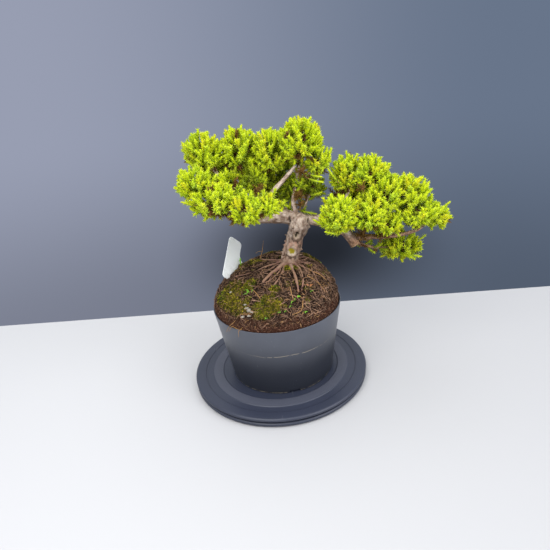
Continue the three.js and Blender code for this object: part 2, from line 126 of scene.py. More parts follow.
class NodeSheet:
    # A node tree that is written as expressions.
    def __init__(self, tree):
        self.tree = tree

    def add(self, kind, sockets=None, output=0, **settings):
        # One node: its settings first, then the values or wires of its sockets.
        node = self.tree.nodes.new(kind)
        for name, value in settings.items():
            setattr(node, name, value)
        for key, value in (sockets or {}).items():
            for each in value if isinstance(value, list) else [value]:
                self.join(each, node.inputs[key])
        return Wire(self, node.outputs[output])

    def join(self, value, socket):
        if isinstance(value, Wire):
            self.tree.links.new(value.output, socket)
        else:
            socket.default_value = value

    def math(self, operation, *values):
        return self.add("ShaderNodeMath", dict(enumerate(values)), operation=operation)

    def vector(self, operation, *values, output=0):
        return self.add("ShaderNodeVectorMath", dict(enumerate(values)), output, operation=operation)

    def mix(self, factor, first, second):
        return self.add("ShaderNodeMix", {0: factor, 6: first, 7: second}, 2, data_type="RGBA")

    def layered(self, base, *layers):
        # Colours laid over the base in turn, each as (factor, colour).
        for factor, colour in layers:
            base = self.mix(factor, base, colour)
        return base

    def rise(self, value, low, high, start=0.0, end=1.0):
        # A smooth step from start to end as value goes from low to high.
        sockets = {0: value, 1: low, 2: high, 3: start, 4: end}
        return self.add("ShaderNodeMapRange", sockets, interpolation_type="SMOOTHSTEP")

    def fall(self, value, low, high):
        return self.rise(value, low, high, 1, 0)

    def band(self, value, low, lowEnd, high, highEnd):
        # 1 from lowEnd to high, and 0 below low and above highEnd.
        return self.rise(value, low, lowEnd) * self.fall(value, high, highEnd)

    def place(self, output="Object"):
        return self.add("ShaderNodeTexCoord", output=output)

    def stretched(self, vector, scale=(1, 1, 1), turn=(0, 0, 0), shift=(0, 0, 0)):
        sockets = {"Vector": vector, "Location": shift, "Rotation": turn, "Scale": scale}
        return self.add("ShaderNodeMapping", sockets)

    def grain(self, vector, scale, detail=3.0, roughness=0.6):
        sockets = {"Vector": vector, "Scale": scale, "Detail": detail, "Roughness": roughness}
        return self.add("ShaderNodeTexNoise", sockets)

    def cells(self, vector, scale, feature="F1"):
        sockets = {"Vector": vector, "Scale": scale}
        return self.add("ShaderNodeTexVoronoi", sockets, "Distance", feature=feature)

    def named(self, name, output="Fac"):
        return self.add("ShaderNodeAttribute", output=output, attribute_name=name)

    def axes(self, vector):
        node = self.add("ShaderNodeSeparateXYZ", {0: vector}).output.node
        return [Wire(self, output) for output in node.outputs]

    def bump(self, height, depth, strength):
        return self.add("ShaderNodeBump", {"Height": height, "Distance": depth, "Strength": strength})

    def read(self, name):
        return self.add("GeometryNodeInputNamedAttribute", {"Name": name}, data_type="FLOAT")

    def random(self, low, high, seed):
        return self.add("FunctionNodeRandomValue", {2: low, 3: high, "Seed": seed}, 1)

    def spun(self, rotation, axis, angle):
        turn = self.add("FunctionNodeAxisAngleToRotation", {"Axis": axis, "Angle": angle})
        return self.add("FunctionNodeRotateRotation", {0: rotation, 1: turn}, rotation_space="LOCAL")

    def coated(self, geometry, material, **more):
        sockets = {"Geometry": geometry, "Material": material, **more}
        return self.add("GeometryNodeSetMaterial", sockets)

    def end(self, kind, value, socket=0):
        self.join(value, self.tree.nodes.new(kind).inputs[socket])


def newMaterial(name, **constants):
    # A material, its node sheet, and a call that feeds the shader's sockets.
    material = bpy.data.materials.new(name)
    material.use_nodes = True
    sheet = NodeSheet(material.node_tree)
    shader = material.node_tree.nodes["Principled BSDF"]

    def feed(**sockets):
        for socket, value in sockets.items():
            sheet.join(value, shader.inputs[socket.replace("_", " ")])

    feed(**constants)
    return material, sheet, feed


def cloudedMaterial(name, colours, scale, detail, depth=0, **constants):
    # A plain material whose colour drifts from one to another.
    material, sheet, feed = newMaterial(name, **constants)
    cloud = sheet.grain(sheet.place(), scale, detail)
    feed(Base_Color=sheet.mix(cloud, *colours))
    if depth:
        feed(Normal=sheet.bump(cloud, depth, 0.8))
    return material


# Meshes

def joinedShape(shapes):
    # Several (points, faces) as one.
    points = []
    faces = []
    for shapePoints, shapeFaces in shapes:
        start = len(points)
        points.extend(shapePoints)
        faces.extend([start + i for i in face] for face in shapeFaces)
    return points, faces


def linked(name, data):
    piece = bpy.data.objects.new(name, data)
    scene.collection.objects.link(piece)
    return piece


def boxShape(under, over):
    # A closed box from its lower and its upper corners.
    sides = [(i, (i + 1) % 4, 4 + (i + 1) % 4, 4 + i) for i in range(4)]
    return under + over, [(0, 3, 2, 1), (4, 5, 6, 7), *sides]


def pebble(radius, subdivisions, place):
    # A small closed lump whose every point goes where place sends it.
    body = bmesh.new()
    bmesh.ops.create_icosphere(body, subdivisions=subdivisions, radius=radius)
    points = [place(vertex.co.copy()) for vertex in body.verts]
    body.verts.index_update()
    faces = [[vertex.index for vertex in face.verts] for face in body.faces]
    body.free()
    return points, faces


def newPiece(name, shapes, materials=(), flat=False, attributes=None):
    # One mesh object from a list of (points, faces), with point attributes of the same order.
    points, faces = joinedShape(shapes)
    mesh = bpy.data.meshes.new(name)
    mesh.from_pydata([tuple(p) for p in points], [], faces)
    for material in materials:
        mesh.materials.append(material)
    for key, values in (attributes or {}).items():
        setAttribute(mesh, key, values)
    mesh.polygons.foreach_set("use_smooth", [not flat] * len(faces))
    mesh.update()
    return linked(name, mesh)


def setAttribute(mesh, name, values):
    values = np.asarray(values, np.float32)
    kind, key = ("FLOAT_VECTOR", "vector") if values.ndim == 2 else ("FLOAT", "value")
    mesh.attributes.new(name, kind, "POINT").data.foreach_set(key, values.ravel())


def readValues(items, key, width=3):
    # One property of all items, as rows of numbers.
    values = np.zeros(len(items) * width, np.float32)
    items.foreach_get(key, values)
    return values.reshape(-1, width)


def baked(piece, name=None):
    # The piece as a plain mesh with its modifiers applied, in place of the piece.
    name = name or piece.name
    graph = bpy.context.evaluated_depsgraph_get()
    made = piece.evaluated_get(graph)
    mesh = bpy.data.meshes.new_from_object(made, preserve_all_data_layers=True, depsgraph=graph)
    mesh.name = name
    bpy.data.objects.remove(piece)
    return linked(name, mesh)


def ringPoint(centre, radius, angle, height):
    return centre[0] + radius * math.cos(angle), centre[1] + radius * math.sin(angle), height


def turned(profile, sides, centre=(0, 0)):
    # A closed turned shape. The profile runs from the axis, up the outside, and back to the axis.
    points = []
    rings = []
    for radius, height in profile:
        count = 1 if radius < 1e-7 else sides
        rings.append((len(points), count))
        points += [ringPoint(centre, radius, 2 * math.pi * i / sides, height) for i in range(count)]
    faces = []
    for (low, lowCount), (high, highCount) in zip(rings, rings[1:]):
        for i in range(sides):
            j = (i + 1) % sides
            corners = (low + i % lowCount, low + j % lowCount, high + j % highCount, high + i % highCount)
            face = list(dict.fromkeys(corners))
            if len(face) > 2:
                faces.append(face)
    return points, faces


def softened(profile, radius, steps=3):
    # A profile with its corners rounded.
    result = [profile[0]]
    for before, corner, after in zip(profile, profile[1:], profile[2:]):
        first = Vector(before) - Vector(corner)
        second = Vector(after) - Vector(corner)
        reach = min(radius, first.length * 0.45, second.length * 0.45)
        start = Vector(corner) + first.normalized() * reach
        end = Vector(corner) + second.normalized() * reach
        for i in range(steps + 1):
            share = i / steps
            low = start.lerp(Vector(corner), share)
            high = Vector(corner).lerp(end, share)
            result.append(tuple(low.lerp(high, share)))
    return result + [profile[-1]]


def curvePoint(points, share):
    # A point on the centripetal curve through the points, as the CAD limbs have it.
    place = min(max(share, 0), 1) * (len(points) - 1)
    i = min(int(place), len(points) - 2)
    t = place - i
    b, c = points[i], points[i + 1]
    a = points[i - 1] if i > 0 else 2 * b - c
    d = points[i + 2] if i + 2 < len(points) else 2 * c - b
    first, middle, last = [max((q - p).length, 1e-9) ** 0.5 for p, q in ((a, b), (b, c), (c, d))]
    leave = ((b - a) / first - (c - a) / (first + middle) + (c - b) / middle) * middle
    arrive = ((c - b) / middle - (d - b) / (middle + last) + (d - c) / last) * middle
    curve = (2 * b - 2 * c + leave + arrive) * t ** 3
    return curve + (3 * c - 3 * b - 2 * leave - arrive) * t ** 2 + leave * t + b


def alongRoute(route, steps):
    # Points, directions and a pair of side directions along a smooth route.
    points = [curvePoint(route, i / steps) for i in range(steps + 1)]
    ways = []
    for i in range(steps + 1):
        ways.append((points[min(i + 1, steps)] - points[max(i - 1, 0)]).normalized())
    side = ways[0].orthogonal().normalized()
    sides = []
    for way in ways:
        side = (side - way * side.dot(way)).normalized()
        sides.append((side, way.cross(side)))
    return points, ways, sides


def tube(route, radii, sides=8, steps=12, knobs=0.0):
    # A closed tapered tube along a route, with a pole at each end.
    points, ways, frames = alongRoute(route, steps)
    made = [points[0] - ways[0] * radii[0] * 0.4]
    for i, (point, (across, up)) in enumerate(zip(points, frames)):
        radius = between(radii, i / steps)
        for k in range(sides):
            angle = 2 * math.pi * k / sides
            swell = 1 + knobs * noise.noise(point * 90 + Vector((k * 2.1, 0, 0)))
            made.append(point + (across * math.cos(angle) + up * math.sin(angle)) * radius * swell)
    made.append(points[-1] + ways[-1] * radii[-1] * 0.6)
    last = len(made) - 1
    faces = []
    for k in range(sides):
        j = (k + 1) % sides
        faces.append((0, 1 + j, 1 + k))
        for i in range(steps):
            low = 1 + i * sides
            faces.append((low + k, low + j, low + sides + j, low + sides + k))
        faces.append((last - sides + k, last - sides + j, last))
    return made, faces


def geometryTree(name, **inputs):
    # A Geometry Nodes tree whose named inputs are given as name=socket kind.
    tree = bpy.data.node_groups.new(name, "GeometryNodeTree")
    tree.interface.new_socket("Geometry", in_out="OUTPUT", socket_type="NodeSocketGeometry")
    for key, kind in {"Geometry": "Geometry", **inputs}.items():
        tree.interface.new_socket(key, in_out="INPUT", socket_type="NodeSocket" + kind)
    sheet = NodeSheet(tree)
    start = tree.nodes.new("NodeGroupInput")
    wires = {socket.name: Wire(sheet, socket) for socket in start.outputs if socket.name}
    return tree, sheet, wires


def grown(piece, tree, name, **values):
    # The piece's Geometry Nodes result as a plain mesh object.
    modifier = piece.modifiers.new(tree.name, "NODES")
    modifier.node_group = tree
    for item in tree.interface.items_tree:
        if item.in_out == "INPUT" and item.name in values:
            modifier[item.identifier] = values[item.name]
    return baked(piece, name)


def finished(piece, body, slot, *nodes):
    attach(piece, body)
    if nodes:
        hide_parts(*nodes)
    return piece


# Camera, at the photograph's place

camera = {
    "place": at(0, -617.0, 445.4),
    "down": math.radians(25.13),
    "aside": math.radians(0.462),
    "roll": math.radians(-5.744),
    "lens": 32.73,
}


def placeCamera():
    data = bpy.data.cameras.new("camera")
    data.sensor_width = 36
    data.lens = camera["lens"]
    data.clip_start = 0.01
    holder = linked("camera", data)
    aim = Matrix.Rotation(-camera["aside"], 4, "Z") @ Matrix.Rotation(math.pi / 2 - camera["down"], 4, "X")
    aim = aim @ Matrix.Rotation(camera["roll"], 4, "Z")
    holder.matrix_world = Matrix.Translation(camera["place"]) @ aim
    scene.camera = holder


placeCamera()
print("camera placed")


# Turntable

tableLow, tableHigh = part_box("turntable_plate")
table = {
    "radius": (tableHigh - tableLow).x / 2,
    "baseHeight": 6.2 * mm,
    "plateBottom": tableLow.z,
    "plateTop": tableHigh.z,
    "rings": (110.3 * mm, 98.7 * mm, 84.4 * mm),
    "groove": 1.0 * mm,
    "recess": 0.8 * mm,
    "slope": 0.9 * mm,
    "track": (56 * mm, 3.3 * mm, 2.05 * mm),
    "spindle": (8 * mm, 3.2 * mm),
    "edge": 0.9 * mm,
    "colour": paint(46, 50, 65),
    "bloom": paint(56, 61, 79),
    "moulded": paint(92, 94, 106),
    "dust": paint(150, 152, 158),
    "sides": 120,
}


def tablePlastic(name, ringed):
    material, sheet, feed = newMaterial(name, IOR=1.46, Specular_IOR_Level=0.5)
    place = sheet.place()
    x, y = sheet.axes(place)[:2]
    radius = sheet.math("SQRT", x * x + y * y)
    inner, bed = table["rings"][1:]
    inRing = sheet.band(radius, bed + 0.2 * mm, bed + 0.6 * mm, inner - 0.5 * mm, inner - 0.1 * mm)
    cloud = sheet.grain(place, 14)
    fine = sheet.grain(place, 1600, 2)
    specks = sheet.fall(sheet.cells(place, 260), 0.05, 0.13) * sheet.rise(cloud, 0.45, 0.7)
    scuff = sheet.grain(sheet.stretched(place, (220, 22, 40), (0, 0, 0.5)), 1, 2)
    worn = sheet.rise(scuff, 0.68, 0.76) * sheet.rise(cloud, 0.5, 0.62)
    layers = [(cloud * 0.5, table["bloom"]), (specks * 0.35 + worn * 0.22, table["dust"])]
    if ringed:
        layers.insert(1, (inRing * (0.25 + fine * 0.35), table["moulded"]))
    feed(Base_Color=sheet.layered(table["colour"], *layers))
    feed(Roughness=0.36 + inRing * 0.16 + cloud * 0.08 + specks * 0.2)
    grooves = sheet.grain(sheet.add("ShaderNodeCombineXYZ", {0: radius}), 1500, 2)
    feed(Normal=sheet.bump(fine * (0.25 + inRing) + grooves * 0.5, 0.05 * mm, 0.7))
    return material


def tableDisc(name, profile, plastic, body, node):
    disc = newPiece(name, [turned(softened(profile, table["edge"]), table["sides"])], [plastic])
    finished(disc, body, node, node)


def buildTurntable():
    radius = table["radius"]
    base = table["baseHeight"]
    middle, half, depth = table["track"]
    spindle, spindleRise = table["spindle"]
    rim = radius - 0.5 * mm
    profile = [
        (0, 0), (radius - 3 * mm, 0), (rim, 2.2 * mm), (rim, base - 1.6 * mm), (radius - 2.4 * mm, base),
        (middle + half, base), (middle + half, base - depth), (middle - half, base - depth),
        (middle - half, base), (spindle, base), (spindle, base + spindleRise), (0, base + spindleRise),
    ]
    plastic = tablePlastic("basePlastic", False)
    tableDisc("turntable_base_disc", profile, plastic, "base", "turntable_base")

    low, top = table["plateBottom"], table["plateTop"]
    outer, inner, bed = table["rings"]
    slope = table["slope"]
    socket = spindle + 0.4 * mm
    socketTop = base + spindleRise + 0.3 * mm
    profile = [
        (0, socketTop), (socket, socketTop), (socket, low), (middle - half, low),
        (middle - half, low + depth), (middle + half, low + depth), (middle + half, low),
        (radius - 2.6 * mm, low), (radius, low + 2.4 * mm),
        (radius, top - 1.8 * mm), (radius - 1.8 * mm, top),
        (outer, top), (outer - slope, top - table["groove"]),
        (inner + slope, top - table["groove"]), (inner, top), (bed, top),
        (bed - slope, top - table["recess"]), (0, top - table["recess"]),
    ]
    plastic = tablePlastic("platePlastic", True)
    tableDisc("turntable_plate_disc", profile, plastic, "turning", "turntable_plate")


ballRing = {
    "height": 6.85 * mm,
    "ball": 2.4 * mm,
    "count": 6,
    "cage": (4.5 * mm, 0.3 * mm),
    "colours": (paint(168, 172, 178), paint(196, 199, 203)),
}


def buildBallRing():
    middle = table["track"][0]
    half, thick = ballRing["cage"]
    height = ballRing["height"]
    ring = [
        (middle - half, height - thick), (middle + half, height - thick), (middle + half, height + thick),
        (middle - half, height + thick), (middle - half, height - thick),
    ]
    shapes = [turned(ring, 96)]
    ball = ballRing["ball"]
    arcs = [math.pi * i / 12 for i in range(13)]
    profile = [(max(ball * math.sin(angle), 0), height - ball * math.cos(angle)) for angle in arcs]
    for i in range(ballRing["count"]):
        centre = ringPoint((0, 0), middle, 2 * math.pi * i / ballRing["count"], height)
        shapes.append(turned(profile, 20, centre))
    material = cloudedMaterial("cagePlastic", ballRing["colours"], 60, 3, Roughness=0.35)
    finished(newPiece("ball_ring_cage", shapes, [material]), "bearing", "ball_ring", "ball_ring")


buildTurntable()
buildBallRing()
print("turntable and ball ring built")


# Pot

potLow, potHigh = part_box("pot")
potMiddle = (potLow + potHigh) / 2
pot = {
    "axis": (potMiddle.x, potMiddle.y),
    "bottom": potLow.z,
    "top": potHigh.z,
    "rimRadius": (potHigh - potLow).x / 2,
    "baseRadius": 72.1 * mm,
    "wall": 1.4 * mm,
    "foot": 4 * mm,
    "floor": 1.8 * mm,
    "edge": 0.5 * mm,
    "notch": (15 * mm, 3.8 * mm, 12 * mm),
    "front": math.radians(-80),
    "drain": (4.5 * mm, 46 * mm),
    "limeHeight": 79.5 * mm,
    "lightest": paint(91, 95, 106),
    "darkest": paint(38, 41, 50),
    "lime": paint(170, 158, 138),
    "dust": paint(150, 152, 158),
    "sides": 120,
}


def potRadius(height):
    share = (height - pot["bottom"]) / (pot["top"] - pot["bottom"])
    return blend(pot["baseRadius"], pot["rimRadius"], share)


def potPlastic():
    material, sheet, feed = newMaterial("potPlastic", IOR=1.48, Specular_IOR_Level=0.55)
    centred = sheet.stretched(sheet.place(), shift=(-pot["axis"][0], -pot["axis"][1], 0))
    x, y, z = sheet.axes(centred)
    wander = sheet.grain(sheet.add("ShaderNodeCombineXYZ", {0: x, 1: y}), 26, 3)
    broken = sheet.grain(centred, 150, 3)
    cloud = sheet.grain(centred, 18, 4)
    level = sheet.math("ABSOLUTE", z - pot["limeHeight"] - (wander - 0.5) * 7 * mm)
    front = sheet.math("ABSOLUTE", sheet.math("ARCTAN2", y, x) - pot["front"])
    line = sheet.fall(level, 0.1 * mm, 0.6 * mm) * sheet.rise(broken, 0.36, 0.52)
    line = line * sheet.rise(front, 0.25, 0.85, 1, 0.12) * 0.8
    foot = sheet.math("ABSOLUTE", z - pot["bottom"] - 1.6 * mm - (wander - 0.5) * 2 * mm)
    foot = sheet.fall(foot, 0.2 * mm, 0.8 * mm) * sheet.rise(broken, 0.42, 0.6) * 0.75
    scratch = sheet.grain(sheet.stretched(centred, (700, 700, 26), (0.16, 0.12, 0)), 1, 1)
    scratch = sheet.rise(scratch, 0.74, 0.8) * sheet.rise(cloud, 0.42, 0.6)
    specks = sheet.fall(sheet.cells(centred, 190), 0.04, 0.12) * sheet.rise(cloud, 0.5, 0.66)
    # Painted reflection: the walls are lighter towards the rim, under a cloud, where they flare out and face
    # the pale table.
    paintedReflection = sheet.rise(z, 40 * mm, 112 * mm) * (0.45 + 0.55 * cloud)
    feed(Base_Color=sheet.layered(
        pot["darkest"],
        (paintedReflection, pot["lightest"]),
        (scratch * 0.25 + specks * 0.3, pot["dust"]),
        (sheet.math("MAXIMUM", line, foot), pot["lime"]),
    ))
    feed(Roughness=0.33 + cloud * 0.1 + (line + foot) * 0.4)
    grit = sheet.grain(centred, 900, 2)
    feed(Normal=sheet.bump(grit * 0.2 + (line + foot) * 2 + scratch, 0.06 * mm, 0.6))
    return material


def potProfile(under, floor):
    low, top, wall, rim = pot["bottom"], pot["top"], pot["wall"], pot["rimRadius"]
    foot = pot["baseRadius"] - 2 * mm
    step = low + 0.9 * mm
    lip = top - 1 * mm
    outside = [blend(low + 0.8 * mm, top, i / 14) for i in range(1, 14)]
    inside = [blend(floor + 3 * mm, top, i / 12) for i in reversed(range(11))]
    start = [(0, under), (foot, under), (foot, low), (potRadius(low) - 0.3 * mm, low)]
    start.append((potRadius(step), step))
    edge = [(potRadius(lip), lip), (rim, top), (rim - wall, top), (potRadius(lip) - wall, lip)]
    profile = softened(start, pot["edge"]) + [(potRadius(z), z) for z in outside]
    profile += softened(edge, pot["edge"]) + [(potRadius(z) - wall, z) for z in inside]
    return profile + [(potRadius(floor) - wall - 2 * mm, floor), (0, floor)]


def potCuts(under, floor):
    # Four drain notches in the foot, and four drain holes between them.
    width, height, reach = pot["notch"]
    drain, circle = pot["drain"]
    near, far = pot["baseRadius"] - reach / 2, pot["baseRadius"] + reach / 2
    corners = ((near, -width / 2), (far, -width / 2), (far, width / 2), (near, width / 2))
    hole = [(0, under - 2 * mm), (drain, under - 2 * mm), (drain, floor + 2 * mm), (0, floor + 2 * mm)]
    for i in range(4):
        turn = Matrix.Rotation(pot["front"] + i * math.pi / 2, 4, "Z")
        turn = Matrix.Translation((*pot["axis"], 0)) @ turn
        yield boxShape(*[[turn @ Vector((x, y, pot["bottom"] + z)) for x, y in corners]
                         for z in (-2 * mm, height)])
        aside = turn @ Matrix.Rotation(math.pi / 4, 4, "Z") @ Matrix.Translation((circle, 0, 0))
        points, faces = turned(hole, 24)
        yield [aside @ Vector(point) for point in points], faces


def buildPot():
    under = pot["bottom"] + pot["foot"]
    floor = under + pot["floor"]
    shape = turned(potProfile(under, floor), pot["sides"], pot["axis"])
    shell = newPiece("nursery_pot", [shape], [potPlastic()])
    cutter = newPiece("cutter", potCuts(under, floor))
    boolean = shell.modifiers.new("notches", "BOOLEAN")
    boolean.object = cutter
    boolean.operation = "DIFFERENCE"
    boolean.solver = "EXACT"
    shell = baked(shell)
    bpy.data.objects.remove(cutter)
    shell.data.set_sharp_from_angle(angle=math.radians(35))
    finished(shell, "turning", "pot", "pot")


buildPot()
print("pot built")


# Soil

soil = {
    "gap": 0.6 * mm,
    "foot": pot["top"] - 1.2 * mm,
    "rise": 50.8 * mm,
    "lean": (0.098, 0.088),
    "fall": 3,
    "dip": 7 * mm,
    "dipAngle": -0.25,
    "taper": 0.153,
    "around": 220,
    "across": 66,
    "grit": 1.9 * mm,
    "mossLift": 1.2 * mm,
    "hollow": (-39.2, -48.5, 4.2, 5.0),
    "dark": paint(15, 10, 8),
    "light": paint(34, 24, 19),
    "crevice": paint(24, 18, 15),
    "red": paint(74, 44, 33),
    "strand": paint(138, 100, 80),
    "mossBed": (paint(40, 42, 12), paint(116, 106, 34)),
    "seed": 5,
}
soil["radius"] = pot["rimRadius"] - pot["wall"] - soil["gap"]
# Each patch of moss, as x, y and half sizes in millimetres.
mossPatches = [
    (-58, -34, 20, 25), (-45, -57, 15, 9), (-9, -70, 19, 11), (-30, -31, 10, 8), (2, -52, 7, 5),
    (28, -12, 11, 7), (8, 62, 20, 13), (-48, 48, 16, 13), (60, 40, 13, 15), (-20, 26, 9, 7),
]


def rimDip(angle):
    return soil["dip"] * max(math.cos(angle - soil["dipAngle"]), 0) ** 2


def soilHeight(x, y):
    # The height of the mound's even form, the same as the CAD soil has.
    east = x - pot["axis"][0]
    north = y - pot["axis"][1]
    share = min(math.hypot(east, north) / soil["radius"], 1)
    rise = math.sqrt(max(1 - share ** soil["fall"], 0))
    wave = 1.3 * math.sin(110 * x + 1.7) * math.cos(130 * y) + 0.8 * math.sin(230 * y + 190 * x)
    lean = soil["lean"][0] * east + soil["lean"][1] * north
    dip = rimDip(math.atan2(north, east)) * share ** 4
    return soil["foot"] - dip + rise * (soil["rise"] + lean + wave * mm)


def mossAt(x, y):
    # How mossy the mound is at a place, from 0 to 1.
    ragged = 0.45 * noise.fractal(Vector((x, y, 0)) * 130, 0.8, 2.0, 3)
    best = 0
    for patchX, patchY, halfX, halfY in mossPatches:
        reach = math.hypot((x / mm - patchX) / halfX, (y / mm - patchY) / halfY)
        best = max(best, smooth((1.18 - reach + ragged) / 0.35))
    share = math.hypot(x - pot["axis"][0], y - pot["axis"][1]) / soil["radius"]
    thin = smooth((noise.fractal(Vector((x, y, 3)) * 60, 0.8, 2.0, 3) - 0.28) / 0.3) * 0.4
    return max(best, thin) * smooth((0.965 - share) / 0.05)


def soilPlaces():
    # Points of the mound by ring, from the middle to the rim, with what each ring's share is.
    rings = soil["across"]
    radius = soil["radius"]
    for k in range(1, rings + 1):
        share = math.sin(math.pi / 2 * k / rings) ** 1.15
        for i in range(soil["around"]):
            angle = 2 * math.pi * i / soil["around"]
            shrink = 1 - rimDip(angle) * soil["taper"] / radius * share ** 4
            yield share, *ringPoint(pot["axis"], radius * min(share, 1) * shrink, angle, 0)[:2]


def soilMaterial():
    material, sheet, feed = newMaterial("soil", Specular_IOR_Level=0.08, Roughness=0.95)
    place = sheet.place()
    moss = sheet.named("moss")
    wall = sheet.named("wall")
    coarse = sheet.grain(place, 120, 5, 0.7)
    fine = sheet.grain(place, 620, 4, 0.7)
    fibre = sheet.grain(sheet.stretched(place, (1, 0.2, 1), (0, 0, 0.6)), 900, 3)
    crossing = sheet.grain(sheet.stretched(place, (0.2, 1, 1), (0, 0, 0.3)), 800, 3)
    strand = sheet.math("MAXIMUM", sheet.rise(fibre, 0.56, 0.66), sheet.rise(crossing, 0.57, 0.67))
    feed(Base_Color=sheet.layered(
        soil["dark"],
        (sheet.rise(coarse, 0.32, 0.68), soil["light"]),
        (wall * 0.6, soil["red"]),
        (sheet.rise(fine, 0.3, 0.45, 0.75, 0), soil["crevice"]),
        (strand * (0.25 + wall * 0.45), soil["strand"]),
        (moss * sheet.rise(coarse, 0.25, 0.45), sheet.mix(sheet.rise(coarse, 0.35, 0.65), *soil["mossBed"])),
    ))
    feed(Normal=sheet.bump(coarse * 1.5 + fine + strand, 0.9 * mm, 0.9))
    return material


def moundRows():
    # The points of the mound's top, each with how mossy and how far down the side it is.
    middle = pot["axis"]
    holeX, holeY, holeReach, holeDepth = soil["hollow"]
    yield (*middle, soilHeight(*middle)), 0, 0
    for share, x, y in soilPlaces():
        height = soilHeight(x, y)
        rough = noise.fractal(Vector((x, y, height)) * 170, 0.75, 2.1, 4)
        green = mossAt(x, y)
        inHole = smooth(1.3 - math.hypot(x / mm - holeX, y / mm - holeY) / holeReach)
        lift = soil["grit"] * rough * blend(1, 0.5, green) + green * soil["mossLift"]
        lift -= inHole * holeDepth * mm
        outward = Vector((x - middle[0], y - middle[1], 0)).normalized()
        normal = (outward * smooth((share - 0.8) / 0.15) * 0.8 + Vector((0, 0, 1))).normalized()
        place = Vector((x, y, height)) + normal * lift * smooth((1 - share) / 0.012)
        yield place, green * (1 - inHole), smooth((share - 0.93) / 0.04)


def buildSoil():
    around = soil["around"]
    rows = list(moundRows())
    deep = pot["bottom"] + pot["foot"] + pot["floor"] + 0.3 * mm
    bend = deep + 2.4 * mm
    lower = [
        (soil["radius"] - 1.6 * mm, pot["top"] - 11 * mm), (potRadius(bend) - pot["wall"] - 1 * mm, bend),
        (potRadius(deep) - pot["wall"] - 3.2 * mm, deep),
    ]
    for reach, height in lower:
        for i in range(around):
            rows.append((ringPoint(pot["axis"], reach, 2 * math.pi * i / around, height), 0, 1))
    faces = [(0, 1 + i, 1 + (i + 1) % around) for i in range(around)]
    rings = soil["across"] + len(lower)
    for k in range(rings - 1):
        for i in range(around):
            low = 1 + k * around
            j = (i + 1) % around
            faces.append((low + i, low + around + i, low + around + j, low + j))
    faces.append(tuple(1 + (rings - 1) * around + i for i in reversed(range(around))))
    points, moss, wall = zip(*rows)
    attributes = {"moss": moss, "wall": wall}
    mound = newPiece("soil_mound", [(points, faces)], [soilMaterial()], attributes=attributes)
    return finished(mound, "turning", "soil", "soil")


mound = buildSoil()
print("soil built")


# What is scattered over the soil, by Geometry Nodes

litter = {
    "rootlets": {
        "count": 3600.0, "size": (0.4, 1.0), "gap": 1.3 * mm, "seed": 3,
        "colours": (paint(18, 11, 9), paint(188, 148, 122)), "bias": 2.6,
    },
    "edge_rootlets": {
        "count": 6000.0, "size": (0.28, 0.5), "gap": 1.15 * mm, "seed": 4,
        "colours": (paint(34, 20, 15), paint(196, 146, 118)), "bias": 2.0,
    },
    "soil_crumbs": {
        "count": 1700.0, "size": (0.35, 1.2), "gap": 1.8 * mm, "seed": 8,
        "colours": (paint(20, 14, 11), paint(78, 56, 44)), "bias": 1.6,
    },
    "dead_needles": {
        "count": 900.0, "size": (0.8, 1.3), "gap": 2.0 * mm, "seed": 13,
        "colours": (paint(92, 60, 40), paint(168, 130, 90)), "bias": 1.6,
    },
    "moss_leaves": {
        "count": 26000.0, "size": (0.6, 1.3), "gap": 0.65 * mm, "seed": 21,
        "colours": (paint(44, 48, 8), paint(214, 198, 52)),
        "greens": (paint(46, 70, 12), paint(124, 168, 36)),
    },
}
# The mound's top in square metres, and how many spots are tried for each one kept.
moundArea = 0.036
triesEach = 1.6


def scatterTree():
    # Copies of a small shape stood or laid on the faces that the weight attribute allows.
    tree, sheet, given = geometryTree(
        "scatter", Shapes="Collection", Density="Float", Closest="Float", Smallest="Float", Largest="Float",
        Seed="Int", Material="Material",
    )
    seed = given["Seed"]
    sockets = {
        "Mesh": given["Geometry"], "Distance Min": given["Closest"], "Density Max": given["Density"],
        "Density Factor": sheet.read("weight"), "Seed": seed,
    }
    spots = sheet.add("GeometryNodeDistributePointsOnFaces", sockets, distribute_method="POISSON")
    stand = Wire(sheet, spots.output.node.outputs["Rotation"])
    stand = sheet.spun(stand, (0, 0, 1), sheet.random(0.0, 2 * math.pi, seed))
    size = sheet.random(given["Smallest"], given["Largest"], seed)
    sockets = {"Collection": given["Shapes"], "Separate Children": True}
    shapes = sheet.add("GeometryNodeCollectionInfo", sockets)
    sockets = {"Points": spots, "Instance": shapes, "Pick Instance": True, "Rotation": stand, "Scale": size}
    copies = sheet.add("GeometryNodeInstanceOnPoints", sockets)
    sockets = {"Geometry": copies, "Name": "tone", "Value": sheet.random(0.0, 1.0, seed + 7)}
    copies = sheet.add("GeometryNodeStoreNamedAttribute", sockets, data_type="FLOAT", domain="INSTANCE")
    solid = sheet.add("GeometryNodeRealizeInstances", {0: copies})
    sheet.end("NodeGroupOutput", sheet.coated(solid, given["Material"]))
    return tree


def shapeShelf(name, shapes):
    # A collection of small shapes to copy, which is removed once they are copied.
    shelf = bpy.data.collections.new(name)
    for i, shape in enumerate(shapes):
        piece = newPiece(f"{name}_{i}", [shape], flat=True)
        scene.collection.objects.unlink(piece)
        shelf.objects.link(piece)
    scene.collection.children.link(shelf)
    return shelf


def removeShelf(shelf):
    for piece in list(shelf.objects):
        bpy.data.objects.remove(piece)
    bpy.data.collections.remove(shelf)


def strandShapes(rng, steps):
    shapes = []
    for i in range(9):
        half = rng.uniform(8, 17) / 2
        bend = rng.uniform(-3.5, 3.5)
        kink = rng.uniform(-2, 2)
        rise = rng.uniform(0.4, 1.7)
        route = [
            at(-half, 0, -0.8), at(-half * 0.4, bend, rise * 0.6), at(half * 0.4, bend * 0.4 + kink, rise),
            at(half, kink - bend * 0.5, -0.8),
        ]
        thick = rng.uniform(0.16, 0.38) * mm
        shapes.append(tube(route, [thick, thick * 1.1, thick * 0.7], 3, steps))
    return shapes


